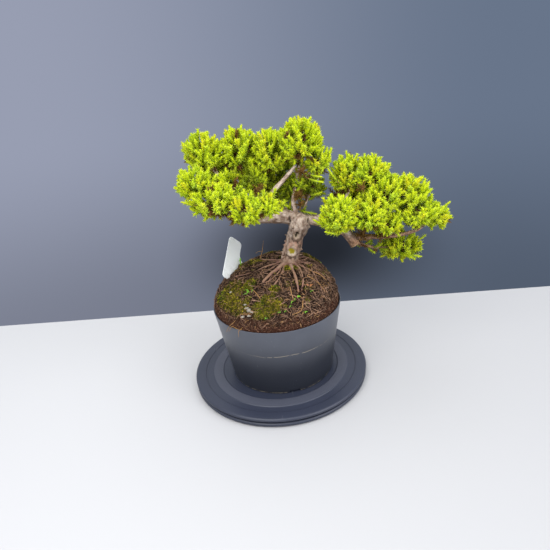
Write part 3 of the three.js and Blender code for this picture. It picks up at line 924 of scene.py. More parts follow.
def crumbShapes(rng):
    def rough(point):
        point *= rng.uniform(0.7, 1.3)
        return Vector((point.x, point.y, point.z * 0.7))

    return [pebble(1.1 * mm, 1, rough) for i in range(5)]


def leaning(lean, turn):
    # A direction that leans from upright to the side given by turn, and the level one across it.
    way = Vector((math.sin(lean) * math.cos(turn), math.sin(lean) * math.sin(turn), math.cos(lean)))
    return way, Vector((-math.sin(turn), math.cos(turn), 0))


def spikeShape(length, width, lean, turn, foot):
    # A slim closed spike, widest before its middle: a fallen needle.
    way, across = leaning(lean, turn)
    inner = across.cross(way)
    base = Vector(foot)
    belly = base + way * length * 0.4
    points = [base, belly + across * width, belly - across * width, belly + inner * width * 0.9]
    points.append(base + way * length)
    return points, [(0, 2, 1), (0, 3, 2), (0, 1, 3), (4, 1, 2), (4, 2, 3), (4, 3, 1)]


def awlShape(length, width, lean, turn, foot=(0, 0, 0)):
    # A closed keeled awl, widest at its foot: a juniper needle, or a leaf of moss.
    way, across = leaning(lean, turn)
    across *= width
    keel = across.cross(way) * 0.8
    base = Vector(foot)
    points = [base + across, base - across, base + keel, base + way * length]
    return points, [(0, 1, 3), (1, 2, 3), (2, 0, 3), (0, 2, 1)]


def mossShapes(rng):
    shapes = []
    for i in range(4):
        leaves = []
        for k in range(3):
            foot = (rng.uniform(-0.5, 0.5) * mm, rng.uniform(-0.5, 0.5) * mm, -0.6 * mm)
            lean = rng.uniform(0.1, 0.75)
            length = rng.uniform(1.8, 3.0) * mm
            leaves.append(awlShape(length, 0.42 * mm, lean, 2.1 * k + rng.random(), foot))
        shapes.append(joinedShape(leaves))
    return shapes


def scatterOver(name, shapes, weights, material):
    settings = litter[name]
    bed = linked(name + "_bed", mound.data.copy())
    setAttribute(bed.data, "weight", weights)
    shelf = shapeShelf(name + "_shapes", shapes)
    smallest, largest = settings["size"]
    piece = grown(
        bed, scatterTree(), name, Shapes=shelf, Density=settings["count"] / moundArea * triesEach,
        Closest=settings["gap"], Smallest=smallest, Largest=largest, Seed=settings["seed"], Material=material,
    )
    removeShelf(shelf)
    finished(piece, "turning", "soil")


def tonedMaterial(name, colours, bias=1.6):
    # A dull material whose colour runs with each copy's tone.
    material, sheet, feed = newMaterial(name, Roughness=0.9, Specular_IOR_Level=0.14)
    cloud = sheet.grain(sheet.place(), 500, 3)
    tone = sheet.named("tone") ** bias * 0.85 + cloud * 0.25
    feed(Base_Color=sheet.mix(sheet.math("MINIMUM", tone, 1), *colours))
    feed(Normal=sheet.bump(cloud, 0.3 * mm, 0.5))
    return material


def mossMaterial():
    material, sheet, feed = newMaterial("mossLeaves", Roughness=0.85, Specular_IOR_Level=0.25)
    place = sheet.place()
    patch = sheet.rise(sheet.grain(place, 110, 4), 0.36, 0.62, 0.15, 1)
    tone = sheet.named("tone")
    leaves = litter["moss_leaves"]
    base = sheet.mix(sheet.rise(tone, 0.3, 1) * patch, *leaves["colours"])
    green = sheet.rise(sheet.grain(place, 45, 2), 0.5, 0.66) * 0.4
    feed(Base_Color=sheet.mix(green, base, sheet.mix(tone, *leaves["greens"])))
    return material


def besideRoots(place):
    # How clear of the main roots each point is, from 0 to 1.
    spots = [point[:2] for plan, radii in mainRoots for point in alongRoute(rootRoute(plan, radii), 30)[0]]
    gap = np.linalg.norm(place[:, None, :2] - np.array(spots)[None], axis=2).min(1)
    return np.clip((gap - 2.5 * mm) / (3 * mm), 0.15, 1).astype(np.float32)


def scatterLitter():
    mesh = mound.data
    green = readValues(mesh.attributes["moss"].data, "value", 1)[:, 0]
    place = readValues(mesh.vertices, "co")
    reach = np.hypot(place[:, 0] - pot["axis"][0], place[:, 1] - pot["axis"][1])
    height = place[:, 2] - pot["top"]
    inner = (reach < soil["radius"] - 1.5 * mm) & (height > -4 * mm)
    shown = (inner | (height > 1.8 * mm)).astype(np.float32)
    clear = besideRoots(place)
    bare = shown * (1 - 0.85 * np.clip(green, 0, 1))
    flat = inner & (reach < soil["radius"] - 9 * mm) | (height > 9 * mm)
    mossy = shown * np.clip(green * 1.4 - 0.2, 0, 1) ** 1.5

    def toned(name):
        return tonedMaterial(name, litter[name]["colours"], litter[name]["bias"])

    rng = random.Random(soil["seed"])
    scatterOver("rootlets", strandShapes(rng, 3), bare * clear * flat, toned("rootlets"))
    scatterOver("edge_rootlets", strandShapes(rng, 2), bare * clear * ~flat, toned("edge_rootlets"))
    scatterOver("soil_crumbs", crumbShapes(rng), bare, toned("soil_crumbs"))
    lift = (0, 0, 0.5 * mm)
    fallen = [spikeShape(rng.uniform(4, 7) * mm, 0.42 * mm, 1.45, 0.3 * i, lift) for i in range(4)]
    scatterOver("dead_needles", fallen, inner * 0.8, toned("dead_needles"))
    scatterOver("moss_leaves", mossShapes(rng), mossy, mossMaterial())


# Wood

# Each main limb as its route and its radii in millimetres, the same as in the CAD source.
mainLimbs = [
    ([(27, 9, 156), (27.5, 8, 172), (31, 5, 189), (38, 2, 211), (43, -1.5, 226), (45.5, -3, 237)],
     [15, 12.4, 11.4, 11, 13.2, 9.5]),
    ([(44, 3, 231), (28, 3, 236), (12, -1, 240), (-2, -7, 242), (-24, -16, 244), (-44, -26, 255),
      (-56, -34, 273)], [8.6, 9.6, 9.6, 8.2, 6.2, 4.4, 2.9]),
    ([(42, 3, 232), (56, 2, 230), (70, -3, 228), (84, -8, 225), (98, -10, 216), (107, -12, 205),
      (113, -15, 194)], [7, 6.8, 7, 6.6, 6.4, 6.8, 6.6]),
]
branches = [
    ([(41, 1, 236), (38, 4, 257), (44, 8, 277), (49, 10, 300), (51, 10, 318)], [4.2, 2.8, 2.6, 2.2, 1.6]),
    ([(-4, -8, 242), (9, -3, 268), (34, 3, 291), (44, 6, 300)], [4.6, 3.4, 2.8, 2]),
    ([(-18, -12, 243), (-36, 2, 268), (-56, 16, 300), (-66, 24, 318)], [4.2, 3.2, 2.4, 1.8]),
    ([(6, -5, 242), (-8, 8, 268), (-20, 22, 296), (-24, 28, 314)], [4.2, 3.2, 2.6, 1.8]),
    ([(-10, -11, 240), (-15, -30, 250), (-19, -44, 262)], [3.8, 2.8, 2]),
    ([(-22, -14, 243), (-38, 14, 258), (-50, 44, 278), (-56, 60, 292)], [3.8, 3, 2.2, 1.6]),
    ([(-8, 8, 268), (0, 18, 286), (12, 22, 306)], [2.8, 2.2, 1.6]),
    ([(28, 2, 240), (20, 20, 258), (10, 34, 270), (2, 52, 280), (-8, 70, 290)], [4.2, 3.4, 2.8, 2.2, 1.6]),
    ([(46, 2, 236), (56, 16, 250), (64, 26, 262)], [2.2, 1.6, 1.2]),
    ([(84, -10, 226), (87, -22, 234), (89, -32, 243)], [3.8, 2.8, 2]),
    ([(96, -8, 216), (103, 2, 240), (112, 12, 262), (120, 16, 278)], [4.4, 3.2, 2.6, 1.8]),
    ([(104, -11, 208), (117, -9, 203), (136, -8, 200), (158, -8, 199), (181, -8, 200), (200, -7, 205),
      (212, -6, 214)], [5.4, 4.4, 3.7, 3.0, 2.4, 1.9, 1.3]),
    ([(124, -7, 208), (140, 2, 226), (152, 0, 246)], [3.6, 2.8, 2]),
    ([(106, -11, 202), (119, -8, 193), (140, 0, 182), (158, 8, 177), (172, 14, 176)],
     [4.2, 2.6, 2, 1.7, 1.5]),
    ([(100, -6, 214), (112, 14, 226), (122, 36, 240), (128, 50, 250)], [3.8, 3, 2.4, 1.6]),
]
# How much of each branch is bare, before its own short shoots start.
bareShares = [0.26, 1, 0.4, 0.4, 0.4, 0.4, 0.05, 0.05, 0.05, 0.4, 0.1, 0.88, 0.4, 0.2, 0.4]
# Where dead brown shoots show, as x, y, z, how many and how long, in millimetres.
deadTufts = [
    (50, -10, 296, 9, 9), (-50, -42, 266, 9, 12), (-24, -48, 255, 9, 8), (121, -20, 209, 9, 11),
    (146, -18, 205, 8, 10), (-6, -16, 279, 9, 13), (44, -4, 265, 10, 9), (47, -3, 253, 8, 7),
    (-37, -52, 258, 9, 8), (122, -16, 270, 6, 8), (96, 30, 250, 7, 11), (-70, 50, 272, 8, 12),
    (20, 66, 272, 8, 12), (160, 40, 214, 8, 11), (70, 10, 286, 6, 10),
]
# Where short live shoots fill the inside, as x, y, z, how many, how long and how shaded.
liveTufts = [
    (19, 16, 269, 11, 12, 0.85), (23, 16, 257, 11, 11, 0.95), (31, 18, 270, 11, 12, 0.8),
    (38, 20, 279, 11, 12, 0.7), (39, 18, 257, 10, 11, 0.95), (24, 2, 253, 8, 9, 0.0),
    (48, 2, 275, 10, 10, 0.45), (10, 14, 258, 10, 12, 0.95), (183, 5, 238, 11, 12, 0.5),
    (194, 5, 236, 11, 12, 0.4), (206, 4, 230, 9, 11, 0.4), (31, 12, 243, 9, 10, 0.35),
]
# Each root in plan, with its radius at each end, in millimetres.
mainRoots = [
    ([(24, 6), (8, -10), (-8, -26), (-22, -44)], (3.4, 1.2)),
    ([(26, 4), (28, -14), (31, -34), (32, -56)], (3.2, 1.2)),
    ([(30, 4), (38, -16), (40, -38), (36, -54)], (1.9, 0.9)),
    ([(22, 6), (16, -16), (8, -34), (0, -48)], (1.7, 0.8)),
    ([(22, 10), (-4, 2), (-28, -2), (-50, 4)], (1.6, 0.8)),
    ([(20, 10), (2, 22), (-16, 30), (-32, 24)], (2.2, 0.9)),
    ([(32, 6), (52, -4), (64, -18)], (1.7, 0.8)),
    ([(32, 10), (48, 20), (62, 26)], (2.0, 0.9)),
    ([(26, 12), (22, 32), (10, 50)], (2.6, 1.0)),
]
# Stubs of old twigs on the trunk, as foot, tip and radius in millimetres.
stubs = [
    ((31, 0, 214), (26.5, -1, 215), 2.2), ((27, 3, 202), (21.5, 3, 203), 1.5),
    ((25, 4, 196), (19, 4, 197.5), 1.6), ((23, 5, 190), (16.5, 5, 191), 1.5),
    ((22, 5, 186), (15.5, 5, 187), 1.5), ((38, 4, 187), (45.2, 3, 188), 1.7),
    ((52, -2, 220), (57, -3, 221), 1.4), ((34, -11, 226), (33, -15, 228), 1.8),
    ((52, -10, 227), (54, -14, 228), 1.8), ((29, 10, 206), (24.6, 13, 208), 2.1),
    ((41, 8, 200), (47.5, 12, 202), 1.7), ((31, 13, 190), (31, 20, 191), 2),
    ((24, 0, 181), (16, -1, 182), 1.8), ((37, 1, 181), (44.5, 0, 182), 1.7),
    ((29, 3, 208), (24.5, 2, 209), 1.4), ((25, 0, 199), (20.5, -2, 200), 1.4),
    ((37, 0, 193), (43, -1, 194), 1.5),
]
# Limbs, branches and roots have a tube's sides, steps and knobs, then the depth of ridges and lumps.
bark = {
    "voxel": 1.0 * mm,
    "limbs": ((16, 40, 0.1), (0.5 * mm, 1.1 * mm)),
    "branches": ((9, 26, 0.25), (0.35 * mm, 0.5 * mm)),
    "roots": ((5, 24, 0.5), (0.25 * mm, 0.4 * mm)),
    "stub": (8, 4, 0.4),
    "reliefScale": 230,
    "lumpScale": 70,
    "calmAbove": 204 * mm,
    "lipWidth": 1.5 * mm,
    "cutFace": (at(113, -15, 194), (0.45, -0.2, -0.87), 6.4 * mm),
    "fineRoots": 40,
    "rootBed": (3.9, -1.3, 80),
    "seed": 11,
    "pale": paint(218, 198, 182),
    "middle": paint(172, 142, 116),
    "rosy": paint(190, 158, 144),
    "dark": paint(104, 80, 62),
    "crack": paint(44, 32, 25),
    "ridgeTop": paint(230, 214, 198),
    "red": paint(196, 138, 112),
    "brown": (paint(92, 66, 50), paint(186, 150, 124)),
    "stump": (paint(84, 56, 40), paint(168, 128, 96)),
    "root": (paint(88, 54, 44), paint(190, 144, 128)),
    "moss": paint(118, 104, 40),
    "underside": paint(92, 66, 46),
    "cut": (paint(196, 172, 120), paint(176, 160, 96)),
}


# Each mark on the trunk: place, reach of its heart, reach of its lip, lip height, depth, upright stretch.
barkMarks = {
    "hole": (at(38.5, -10, 215.3), 1.9 * mm, 4.2 * mm, 0.8 * mm, 5 * mm, 0.6),
    "wound": (at(30.4, -6.8, 190.0), 2.9 * mm, 5.4 * mm, 1.0 * mm, 0.8 * mm, 0.8),
    "leftSeam": (at(31.2, -7.5, 234.5), 1.2 * mm, 1 * mm, 0, 2 * mm, 0.28),
    "rightSeam": (at(54.5, -7, 230.5), 1.2 * mm, 1 * mm, 0, 2 * mm, 0.28),
}
# The colours of a mark's heart and lip, and how strong the lip's is.
markColours = {
    "wound": (paint(164, 146, 34), paint(216, 202, 180), 0.75),
    # The hole's dark heart is painted shade inside the hollow.
    "hole": (paint(44, 38, 20), paint(204, 180, 152), 0.55),
}


def onSoil(x, y, lift):
    return Vector((x * mm, y * mm, soilHeight(x * mm, y * mm) + lift * mm))


def rootRoute(plan, radii):
    thick, thin = radii
    points = []
    for i, (x, y) in enumerate(plan):
        lift = blend(thick * 0.6, thin * 0.4, i / (len(plan) - 1))
        points.append(onSoil(x, y, lift))
    return points


def wanderingRoot(rng, angle, length, thick):
    # A fine root that leaves the trunk's foot and wanders down the mound.
    bedX, bedY, bedReach = bark["rootBed"]
    foot = (27, 8)
    plan = [ringPoint(foot, reach, angle, 0)[:2] for reach in (5, 10)]
    x, y = plan[-1]
    steps = max(3, round(length / 9))
    for i in range(steps):
        angle += rng.uniform(-0.42, 0.42)
        x, y = ringPoint((x, y), length / steps, angle, 0)[:2]
        if math.hypot(x - bedX, y - bedY) > bedReach:
            break
        plan.append((x, y))
    return rootRoute(plan, (thick, thick * 0.35)), [thick * mm, thick * 0.75 * mm, thick * 0.32 * mm]


def barkMaterial():
    material, sheet, feed = newMaterial("bark", Specular_IOR_Level=0.3)
    place = sheet.place()
    x, z = sheet.axes(place)[::2]
    along = sheet.named("barkPlace", "Vector")
    relief = sheet.named("relief")
    flakes = sheet.grain(along, 210, 5, 0.65)
    plates = sheet.cells(sheet.stretched(along, (1, 1, 1.4)), 150, "DISTANCE_TO_EDGE")
    cloud = sheet.grain(place, 45, 3)
    fine = sheet.grain(along, 900, 4, 0.7)
    calm = 1 - 0.6 * sheet.rise(z, 200 * mm, 214 * mm)
    reddish = sheet.band(z, 188 * mm, 196 * mm, 202 * mm, 212 * mm) * sheet.rise(flakes, 0.4, 0.6)
    stump = sheet.rise(x, 98 * mm, 105 * mm) * sheet.fall(z, 198 * mm, 214 * mm)
    low = sheet.band(z, 156 * mm, 166 * mm, 166 * mm, 184 * mm) * sheet.rise(flakes, 0.4, 0.55)
    facing = sheet.axes(sheet.add("ShaderNodeNewGeometry", output="Normal"))[2]
    base = sheet.layered(
        bark["dark"],
        (sheet.rise(flakes, 0.34, 0.66), bark["pale"]),
        (0.3, sheet.mix(cloud, bark["middle"], bark["rosy"])),
        (sheet.rise(plates, 0.0, 0.09, 0.45, 0) * calm, bark["crack"]),
        (sheet.rise(relief, -0.5, -0.1, 0.7, 0) * calm, bark["crack"]),
        (sheet.rise(relief, 0.1, 0.5, 0, 0.45), bark["ridgeTop"]),
        (reddish * 0.55, bark["red"]),
        (sheet.rise(z, 190 * mm, 208 * mm, 0.45, 0), sheet.mix(sheet.rise(flakes, 0.3, 0.6), *bark["brown"])),
        (stump * 0.7, sheet.mix(sheet.rise(flakes, 0.35, 0.6), *bark["stump"])),
        (sheet.rise(z, 168 * mm, 182 * mm, 0.92, 0), sheet.mix(flakes, *bark["root"])),
        (low * 0.3, bark["moss"]),
        # Painted shade: the bark darker and browner where it faces down.
        (sheet.rise(facing, -0.8, 0.1, 0.7, 0), bark["underside"]),
    )
    for name in ("leftSeam", "rightSeam"):
        far = sheet.named(name) + (flakes - 0.5) * 2 * mm
        base = sheet.mix(sheet.rise(far, 0.4 * mm, 2.4 * mm, 0.8, 0), base, bark["crack"])
    for name, (heartColour, lipColour, share) in markColours.items():
        middle, heart, ring = barkMarks[name][:3]
        far = sheet.named(name) + (fine - 0.5) * 5 * mm + (flakes - 0.5) * 10 * mm
        below = sheet.rise(z, middle.z - 1 * mm, middle.z + 2.5 * mm, 1, 0.25)
        cleft = sheet.fall(sheet.math("ABSOLUTE", far - ring - 2.4 * mm), 0.3 * mm, 1.3 * mm) * below
        base = sheet.layered(
            base,
            (cleft * 0.7, bark["crack"]),
            (sheet.rise(far, ring - 1.2 * mm, ring + 0.7 * mm, share, 0) * below, lipColour),
            (sheet.fall(far, heart - 0.7 * mm, heart + 0.7 * mm), heartColour),
        )
    base = sheet.mix(sheet.named("cut") * 0.9, base, sheet.mix(flakes, *bark["cut"]))
    feed(Base_Color=base, Roughness=0.82 + 0.15 * flakes)
    ridges = sheet.rise(plates, 0.0, 0.12)
    feed(Normal=sheet.bump(flakes + fine * 0.5 + ridges * 0.5, 0.55 * mm, 0.85))
    return material


def routeSamples(parts):
    # Centres, directions, side directions, distances and radii along every route.
    rows = []
    for route, radii in parts:
        steps = max(12, int(sum((q - p).length for p, q in zip(route, route[1:])) / (1.5 * mm)))
        points, ways, frames = alongRoute(route, steps)
        distance = 0
        for i, (point, way, (across, up)) in enumerate(zip(points, ways, frames)):
            distance += (point - points[max(i - 1, 0)]).length
            rows.append((*point, *way, *across, *up, distance, between(radii, i / steps)))
    return np.array(rows)


def barkPlaces(points, samples):
    # Each point's place on the bark: across, up, and slower along the limb.
    result = np.zeros_like(points)
    for start in range(0, len(points), 4000):
        part = points[start:start + 4000]
        gap = np.linalg.norm(part[:, None] - samples[None, :, 0:3], axis=2) - samples[None, :, 13]
        near = samples[gap.argmin(1)]
        offset = part - near[:, 0:3]
        result[start:start + 4000, 0] = (offset * near[:, 6:9]).sum(1)
        result[start:start + 4000, 1] = (offset * near[:, 9:12]).sum(1)
        result[start:start + 4000, 2] = (near[:, 12] + (offset * near[:, 3:6]).sum(1)) * 0.55
    return result


def roughen(mesh, samples, depths, marked=False):
    # Bark relief pushed along the normals, kept as attributes for the colour.
    points = readValues(mesh.vertices, "co").astype(float)
    normals = readValues(mesh.vertex_normals, "vector").astype(float)
    places = barkPlaces(points, samples)
    ridge, lump = depths
    relief = np.array([noise.fractal(Vector(p) * bark["reliefScale"], 0.7, 2.1, 4) for p in places])
    swell = np.array([noise.noise(Vector(p) * bark["lumpScale"]) for p in points])
    cut = np.zeros(len(points))
    calm = 1 - 0.5 * np.clip((points[:, 2] - bark["calmAbove"]) / (10 * mm), 0, 1) * marked
    push = relief * ridge * calm + swell * lump
    for name, (place, heart, ring, lip, depth, stretch) in barkMarks.items():
        far = np.ones(len(points))
        if marked:
            spot = points[np.linalg.norm(points - np.array(place), axis=1).argmin()]
            far = (np.abs((points - spot) * (1, 1, stretch)) ** 3).sum(1) ** (1 / 3)
        push += lip * np.exp(-((far - ring) / bark["lipWidth"]) ** 2)
        push -= depth * np.clip(1.3 - far / heart, 0, 1)
        setAttribute(mesh, name, far)
    if marked:
        face, way, reach = bark["cutFace"]
        offset = points - np.array(face)
        near = np.linalg.norm(offset, axis=1) < reach * 1.7
        beyond = offset @ np.array(way)
        points -= np.where(near & (beyond > 0), beyond * 0.94, 0)[:, None] * way
        cut[near & (beyond > -0.3 * mm)] = 1
    points += normals * (push * (1 - 0.8 * cut))[:, None]
    mesh.vertices.foreach_set("co", points.astype(np.float32).ravel())
    for name, values in (("barkPlace", places), ("relief", relief), ("cut", cut)):
        setAttribute(mesh, name, values)
    mesh.update()


def scaled(part):
    route, radii = part
    return [at(*point) for point in route], [radius * mm for radius in radii]


def thinWood(name, parts, kind, material):
    shape, relief = bark[kind]
    piece = newPiece(name, [tube(route, radii, *shape) for route, radii in parts], [material])
    roughen(piece.data, routeSamples(parts), relief)
    finished(piece, "turning", "bark")


def buildWood():
    material = barkMaterial()
    thick = [scaled(part) for part in mainLimbs]
    for plan, (foot, tip) in mainRoots:
        radii = [radius * mm for radius in (foot, blend(foot, tip, 0.6), tip)]
        thick.append((rootRoute(plan, (foot, tip)), radii))
    shape, relief = bark["limbs"]
    shapes = [tube(route, radii, *shape) for route, radii in thick]
    for foot, tip, radius in stubs:
        shapes.append(tube([at(*foot), at(*tip)], [radius * mm, radius * 0.6 * mm], *bark["stub"]))
    body = newPiece("trunk_and_limbs", shapes, [material])
    remesh = body.modifiers.new("joined", "REMESH")
    remesh.mode = "VOXEL"
    remesh.voxel_size = bark["voxel"]
    relax = body.modifiers.new("relaxed", "SMOOTH")
    relax.factor = 0.5
    relax.iterations = 3
    body = baked(body)
    body.data.polygons.foreach_set("use_smooth", [True] * len(body.data.polygons))
    roughen(body.data, routeSamples(thick), relief, True)
    if not body.data.materials:
        body.data.materials.append(material)
    finished(body, "turning", "bark", "trunk")

    thinWood("branches", [scaled(part) for part in branches], "branches", material)
    rng = random.Random(bark["seed"])
    fine = []
    for i in range(bark["fineRoots"]):
        angle = math.radians(rng.uniform(-200, 20) if i % 3 else rng.uniform(20, 160))
        fine.append(wanderingRoot(rng, angle, rng.uniform(22, 70), rng.uniform(0.4, 1.05)))
    thinWood("fine_roots", fine, "roots", material)


buildWood()
print("wood built")
scatterLitter()
print("litter and moss scattered")


# Foliage: shoot axes grown by rule, then needles in whorls of three by Geometry Nodes

# Each spray's bunches in millimetres, as centre and half sizes, much as in the CAD source.
sprays = {
    "foliage_crown_left": [(-69, 25, 325, 28, 28, 27)],
    "foliage_crown_middle": [(-25, 30, 322, 30, 28, 30)],
    "foliage_crown_right": [(13, 22, 318, 27, 27, 31)],
    "foliage_apex": [(51, 10, 330, 31, 30, 29), (72, 12, 303, 18, 18, 18)],
    "foliage_left_front": [
        (-80, -20, 297, 25, 24, 21), (-59, -38, 279, 30, 26, 23), (-37, -3, 286, 25, 22, 21),
        (-14, 8, 288, 22, 20, 18),
    ],
    "foliage_left_low": [(-19, -50, 268, 25, 22, 19), (4, -45, 268, 14, 15, 13)],
    "foliage_left_inner": [(6, 40, 280, 28, 24, 21)],
    "foliage_small_back": [(67, 30, 266, 16, 15, 15), (42, 42, 266, 22, 20, 18)],
    "foliage_back_left": [(-58, 66, 298, 27, 26, 24)],
    "foliage_back_middle": [(-12, 76, 294, 28, 26, 25), (27, 64, 300, 24, 24, 24)],
    "foliage_right_crown": [(110, 20, 280, 22, 23, 27), (140, 12, 280, 25, 26, 24)],
    "foliage_right_outer": [
        (153, -2, 255, 32, 30, 28), (185, 0, 253, 29, 28, 25), (197, -6, 229, 28, 26, 21),
        (222, -2, 218, 19, 18, 15),
    ],
    "foliage_right_front": [
        (89, -35, 245, 25, 24, 26), (127, -25, 240, 27, 26, 24), (153, -14, 221, 24, 20, 17),
    ],
    "foliage_right_under": [(181, 15, 175, 32, 26, 20)],
    "foliage_right_back": [(126, 52, 252, 26, 24, 24), (163, 46, 238, 26, 24, 24)],
}
# How shaded the foliage of a spray is, from 0 to 1.
shades = {"foliage_left_inner": 0.72, "foliage_small_back": 0.78, "foliage_right_under": 0.3}
# Hollows among the shoots, as x, y, z and reach in millimetres.
recesses = [
    (-3, -26, 297, 15), (122, -26, 272, 9), (-22, 4, 305, 8), (52, -14, 294, 10), (-27, -6, 293, 9),
]
# Single shoots that stand out from the rest, as foot and tip in millimetres.
singles = [
    ((-82, -30, 289), (-103, -34, 298)), ((-78, -46, 278), (-95, -50, 285)), ((-86, 0, 322), (-90, -4, 345)),
    ((96, -6, 276), (83, -8, 296)), ((76, -38, 232), (58, -42, 244)), ((92, -46, 223), (70, -50, 230)),
    ((189, 5, 166), (207, 4, 159)), ((200, 8, 181), (214, 10, 188)), ((232, 0, 216), (245, -2, 213)),
    ((54, -6, 288), (76, -10, 280)), ((58, -6, 292), (75, -10, 287)), ((58, 12, 259), (76, 10, 262)),
    ((40, 2, 246), (66, -4, 238), 0.55), ((10, -20, 268), (16, -30, 284)), ((-2, -44, 268), (2, -52, 290)),
    ((230, 4, 226), (242, 2, 234)), ((150, -30, 236), (156, -40, 252)),
]
shoot = {
    "spacing": 11.6 * mm,
    "length": (15 * mm, 24 * mm),
    "sideShoots": (2, 4),
    "sideLength": (8 * mm, 13 * mm),
    "sideAngle": (0.45, 0.8),
    "lift": 1.25,
    "reach": (0.85, 0.1, 0.13),
    "overlap": 0.83,
    "innerShare": 0.2,
    "innerReach": (0.5, 0.72),
    "onBranches": (3.4 * mm, 9 * mm, 16 * mm),
    "whorlStep": 1.9 * mm,
    "needle": 5.0 * mm,
    "needleWidth": 0.19,
    "openBase": 1.15,
    "openTip": 0.85,
    "slender": (0.5 * mm, 1.0 * mm, 1.3 * mm, 1.3 * mm, 0.9 * mm),
    "twig": (1.0 * mm, 0.77 * mm),
    "deadShare": 0.015,
    "deadBelow": 0.25,
    "deadInside": 0.15,
    "deadOnBranches": 0.3,
    "shaded": 0.7,
    "seed": 4,
}
# The radii from foot to tip of each kind of leafy shoot, of a live one and of a dead one.
sideCore = (0.7 * mm, 1.8 * mm, 1.3 * mm)
cores = {
    "leader": ((0.8 * mm, 1.8 * mm, 2.2 * mm, 2.2 * mm, 1.5 * mm), (0.715 * mm, 0.33 * mm)),
    "side": (sideCore, (0.55 * mm, 0.275 * mm)),
    "tuft": (sideCore, (0.55 * mm, 0.33 * mm)),
}
leafColours = {
    # deep is the green of painted shade, inside the foliage and under it.
    "deep": paint(54, 78, 14),
    "old": paint(156, 176, 18),
    "full": paint(193, 210, 20),
    "young": paint(208, 222, 34),
    "tip": paint(216, 224, 112),
    "blue": paint(176, 206, 138),
    "gold": paint(234, 196, 30),
    "dead": paint(128, 74, 46),
    "deadDark": paint(78, 46, 30),
    "cool": paint(120, 168, 42),
    "youngStem": paint(150, 150, 50),
    "twig": (paint(92, 62, 42), paint(150, 110, 74)),
}


def scaledBunch(bunch):
    return at(*bunch[:3]), Vector(bunch[3:]) * mm


allBunches = {name: [scaledBunch(bunch) for bunch in bunches] for name, bunches in sprays.items()}


def insideBunch(point, bunch, share):
    centre, half = bunch
    offset = point - centre
    return math.hypot(offset.x / half.x, offset.y / half.y, offset.z / half.z) < share


def turnedFrom(way, angle, around):
    # A direction at an angle from way, on the side given by around.
    across = way.orthogonal().normalized()
    side = across * math.cos(around) + way.cross(across) * math.sin(around)
    return (way * math.cos(angle) + side * math.sin(angle)).normalized()


def bentLine(tip, startWay, endWay, length, steps):
    # Points of a shoot from its root to its tip, turning evenly from one direction to the other.
    points = [tip]
    for i in range(steps):
        way = startWay.lerp(endWay, 1 - (i + 0.5) / steps).normalized()
        points.append(points[-1] - way * length / steps)
    return points[::-1]


class Twigs:
    # Lines of points with attributes, which the needle tree grows its needles on.
    def __init__(self):
        self.points = []
        self.edges = []
        self.values = {}

    def line(self, points, thick, start=0.0, **values):
        last = len(points) - 1
        for i, point in enumerate(points):
            values["along"] = blend(start, 1, i / last)
            values["thick"] = between(thick, i / last)
            for key, value in values.items():
                self.values.setdefault(key, []).append(value)
            if i:
                self.edges.append((len(self.points) - 1, len(self.points)))
            self.points.append(point)

    def leafy(self, points, kind, tone, dead, depth, start=0.0):
        self.line(points, cores[kind][dead], start, leafy=1, tone=tone, dead=dead, depth=depth)


def sidesOf(axis, endWay, rng):
    # Side shoots that leave a leader and bend up beside it.
    count = rng.randint(*shoot["sideShoots"])
    around = rng.uniform(0, 2 * math.pi)
    for k in range(count):
        share = blend(0.3, 0.82, (k + rng.random()) / count)
        around += 2.4
        way = turnedFrom(endWay, rng.uniform(*shoot["sideAngle"]), around)
        way = (way + Vector((0, 0, 0.25))).normalized()
        length = rng.uniform(*shoot["sideLength"]) * blend(1.15, 0.7, share)
        foot = curvePoint(axis, share)
        elbow = foot + way * length / 2
        yield [foot, elbow, elbow + way.lerp(endWay, 0.7).normalized() * length / 2]


def recessAt(point):
    # 1 in the middle of a hollow, falling to 0 at twice its reach.
    nearest = min((point - at(x, y, z)).length / (reach * mm) for x, y, z, reach in recesses)
    return smooth((2 - nearest) / 1.1)


def evenWay(i, count, angle):
    # One of count directions spread evenly from the zenith down, at an angle around it.
    level = 1 - 2 * (i + 0.5) / count
    width = math.sqrt(1 - level * level)
    return Vector((width * math.cos(angle), width * math.sin(angle), level))


def growLeader(twigs, name, home, out, rng):
    # A leader whose tip lies at the bunch's surface, its side shoots, and the bare twig that bears it.
    centre, half = home
    spread = (half.x * half.y * half.z) ** (1 / 3)
    even, drawn, rolling = shoot["reach"]
    reach = even + drawn * rng.random() + rolling * noise.noise(centre * 50 + out * 1.7)
    tip = centre + out * half * reach
    others = [bunch for bunches in allBunches.values() for bunch in bunches if bunch is not home]
    if any(insideBunch(tip, bunch, shoot["overlap"]) for bunch in others) or recessAt(tip) > 0.9:
        return
    normal = Vector(a / b for a, b in zip(out, half)).normalized()
    jitter = Vector((rng.uniform(-1, 1), rng.uniform(-1, 1), rng.uniform(-0.6, 0.6))) * 0.3
    lift = shoot["lift"] * (1 if out.z > -0.35 else 0.35)
    endWay = (normal + Vector((0, 0, lift)) + jitter).normalized()
    flat = Vector((out.x, out.y, out.z * 0.4)) + jitter * 0.5
    startWay = (flat.normalized() * 0.8 + endWay * 0.5).normalized()
    length = rng.uniform(*shoot["length"]) * min(spread / (25 * mm), 1.1)
    axis = bentLine(tip, startWay, endWay, length, 4)
    under = smooth((-out.z - 0.35) / 0.4)
    dead = rng.random() < shoot["deadShare"] + shoot["deadBelow"] * under
    tone = rng.uniform(-1, 1)
    # The depth paints shade into a shoot's colour: on a bunch's underside, in shaded sprays and by the
    # hollows.
    depth = max(0.3 * under, shades.get(name, 0), min(1.6 * recessAt(tip), 1))
    twigs.leafy(axis, "leader", tone, dead, depth)
    for points in sidesOf(axis, endWay, rng):
        twigs.leafy(points, "side", tone + rng.uniform(-0.4, 0.4), dead, depth, 0.2)
    root = centre.lerp(axis[0], 0.15)
    middle = root.lerp(axis[0], 0.5) - Vector((0, 0, 3 * mm))
    twigs.line([root, middle, axis[0]], shoot["twig"], leafy=0, tone=tone, dead=0, depth=1)


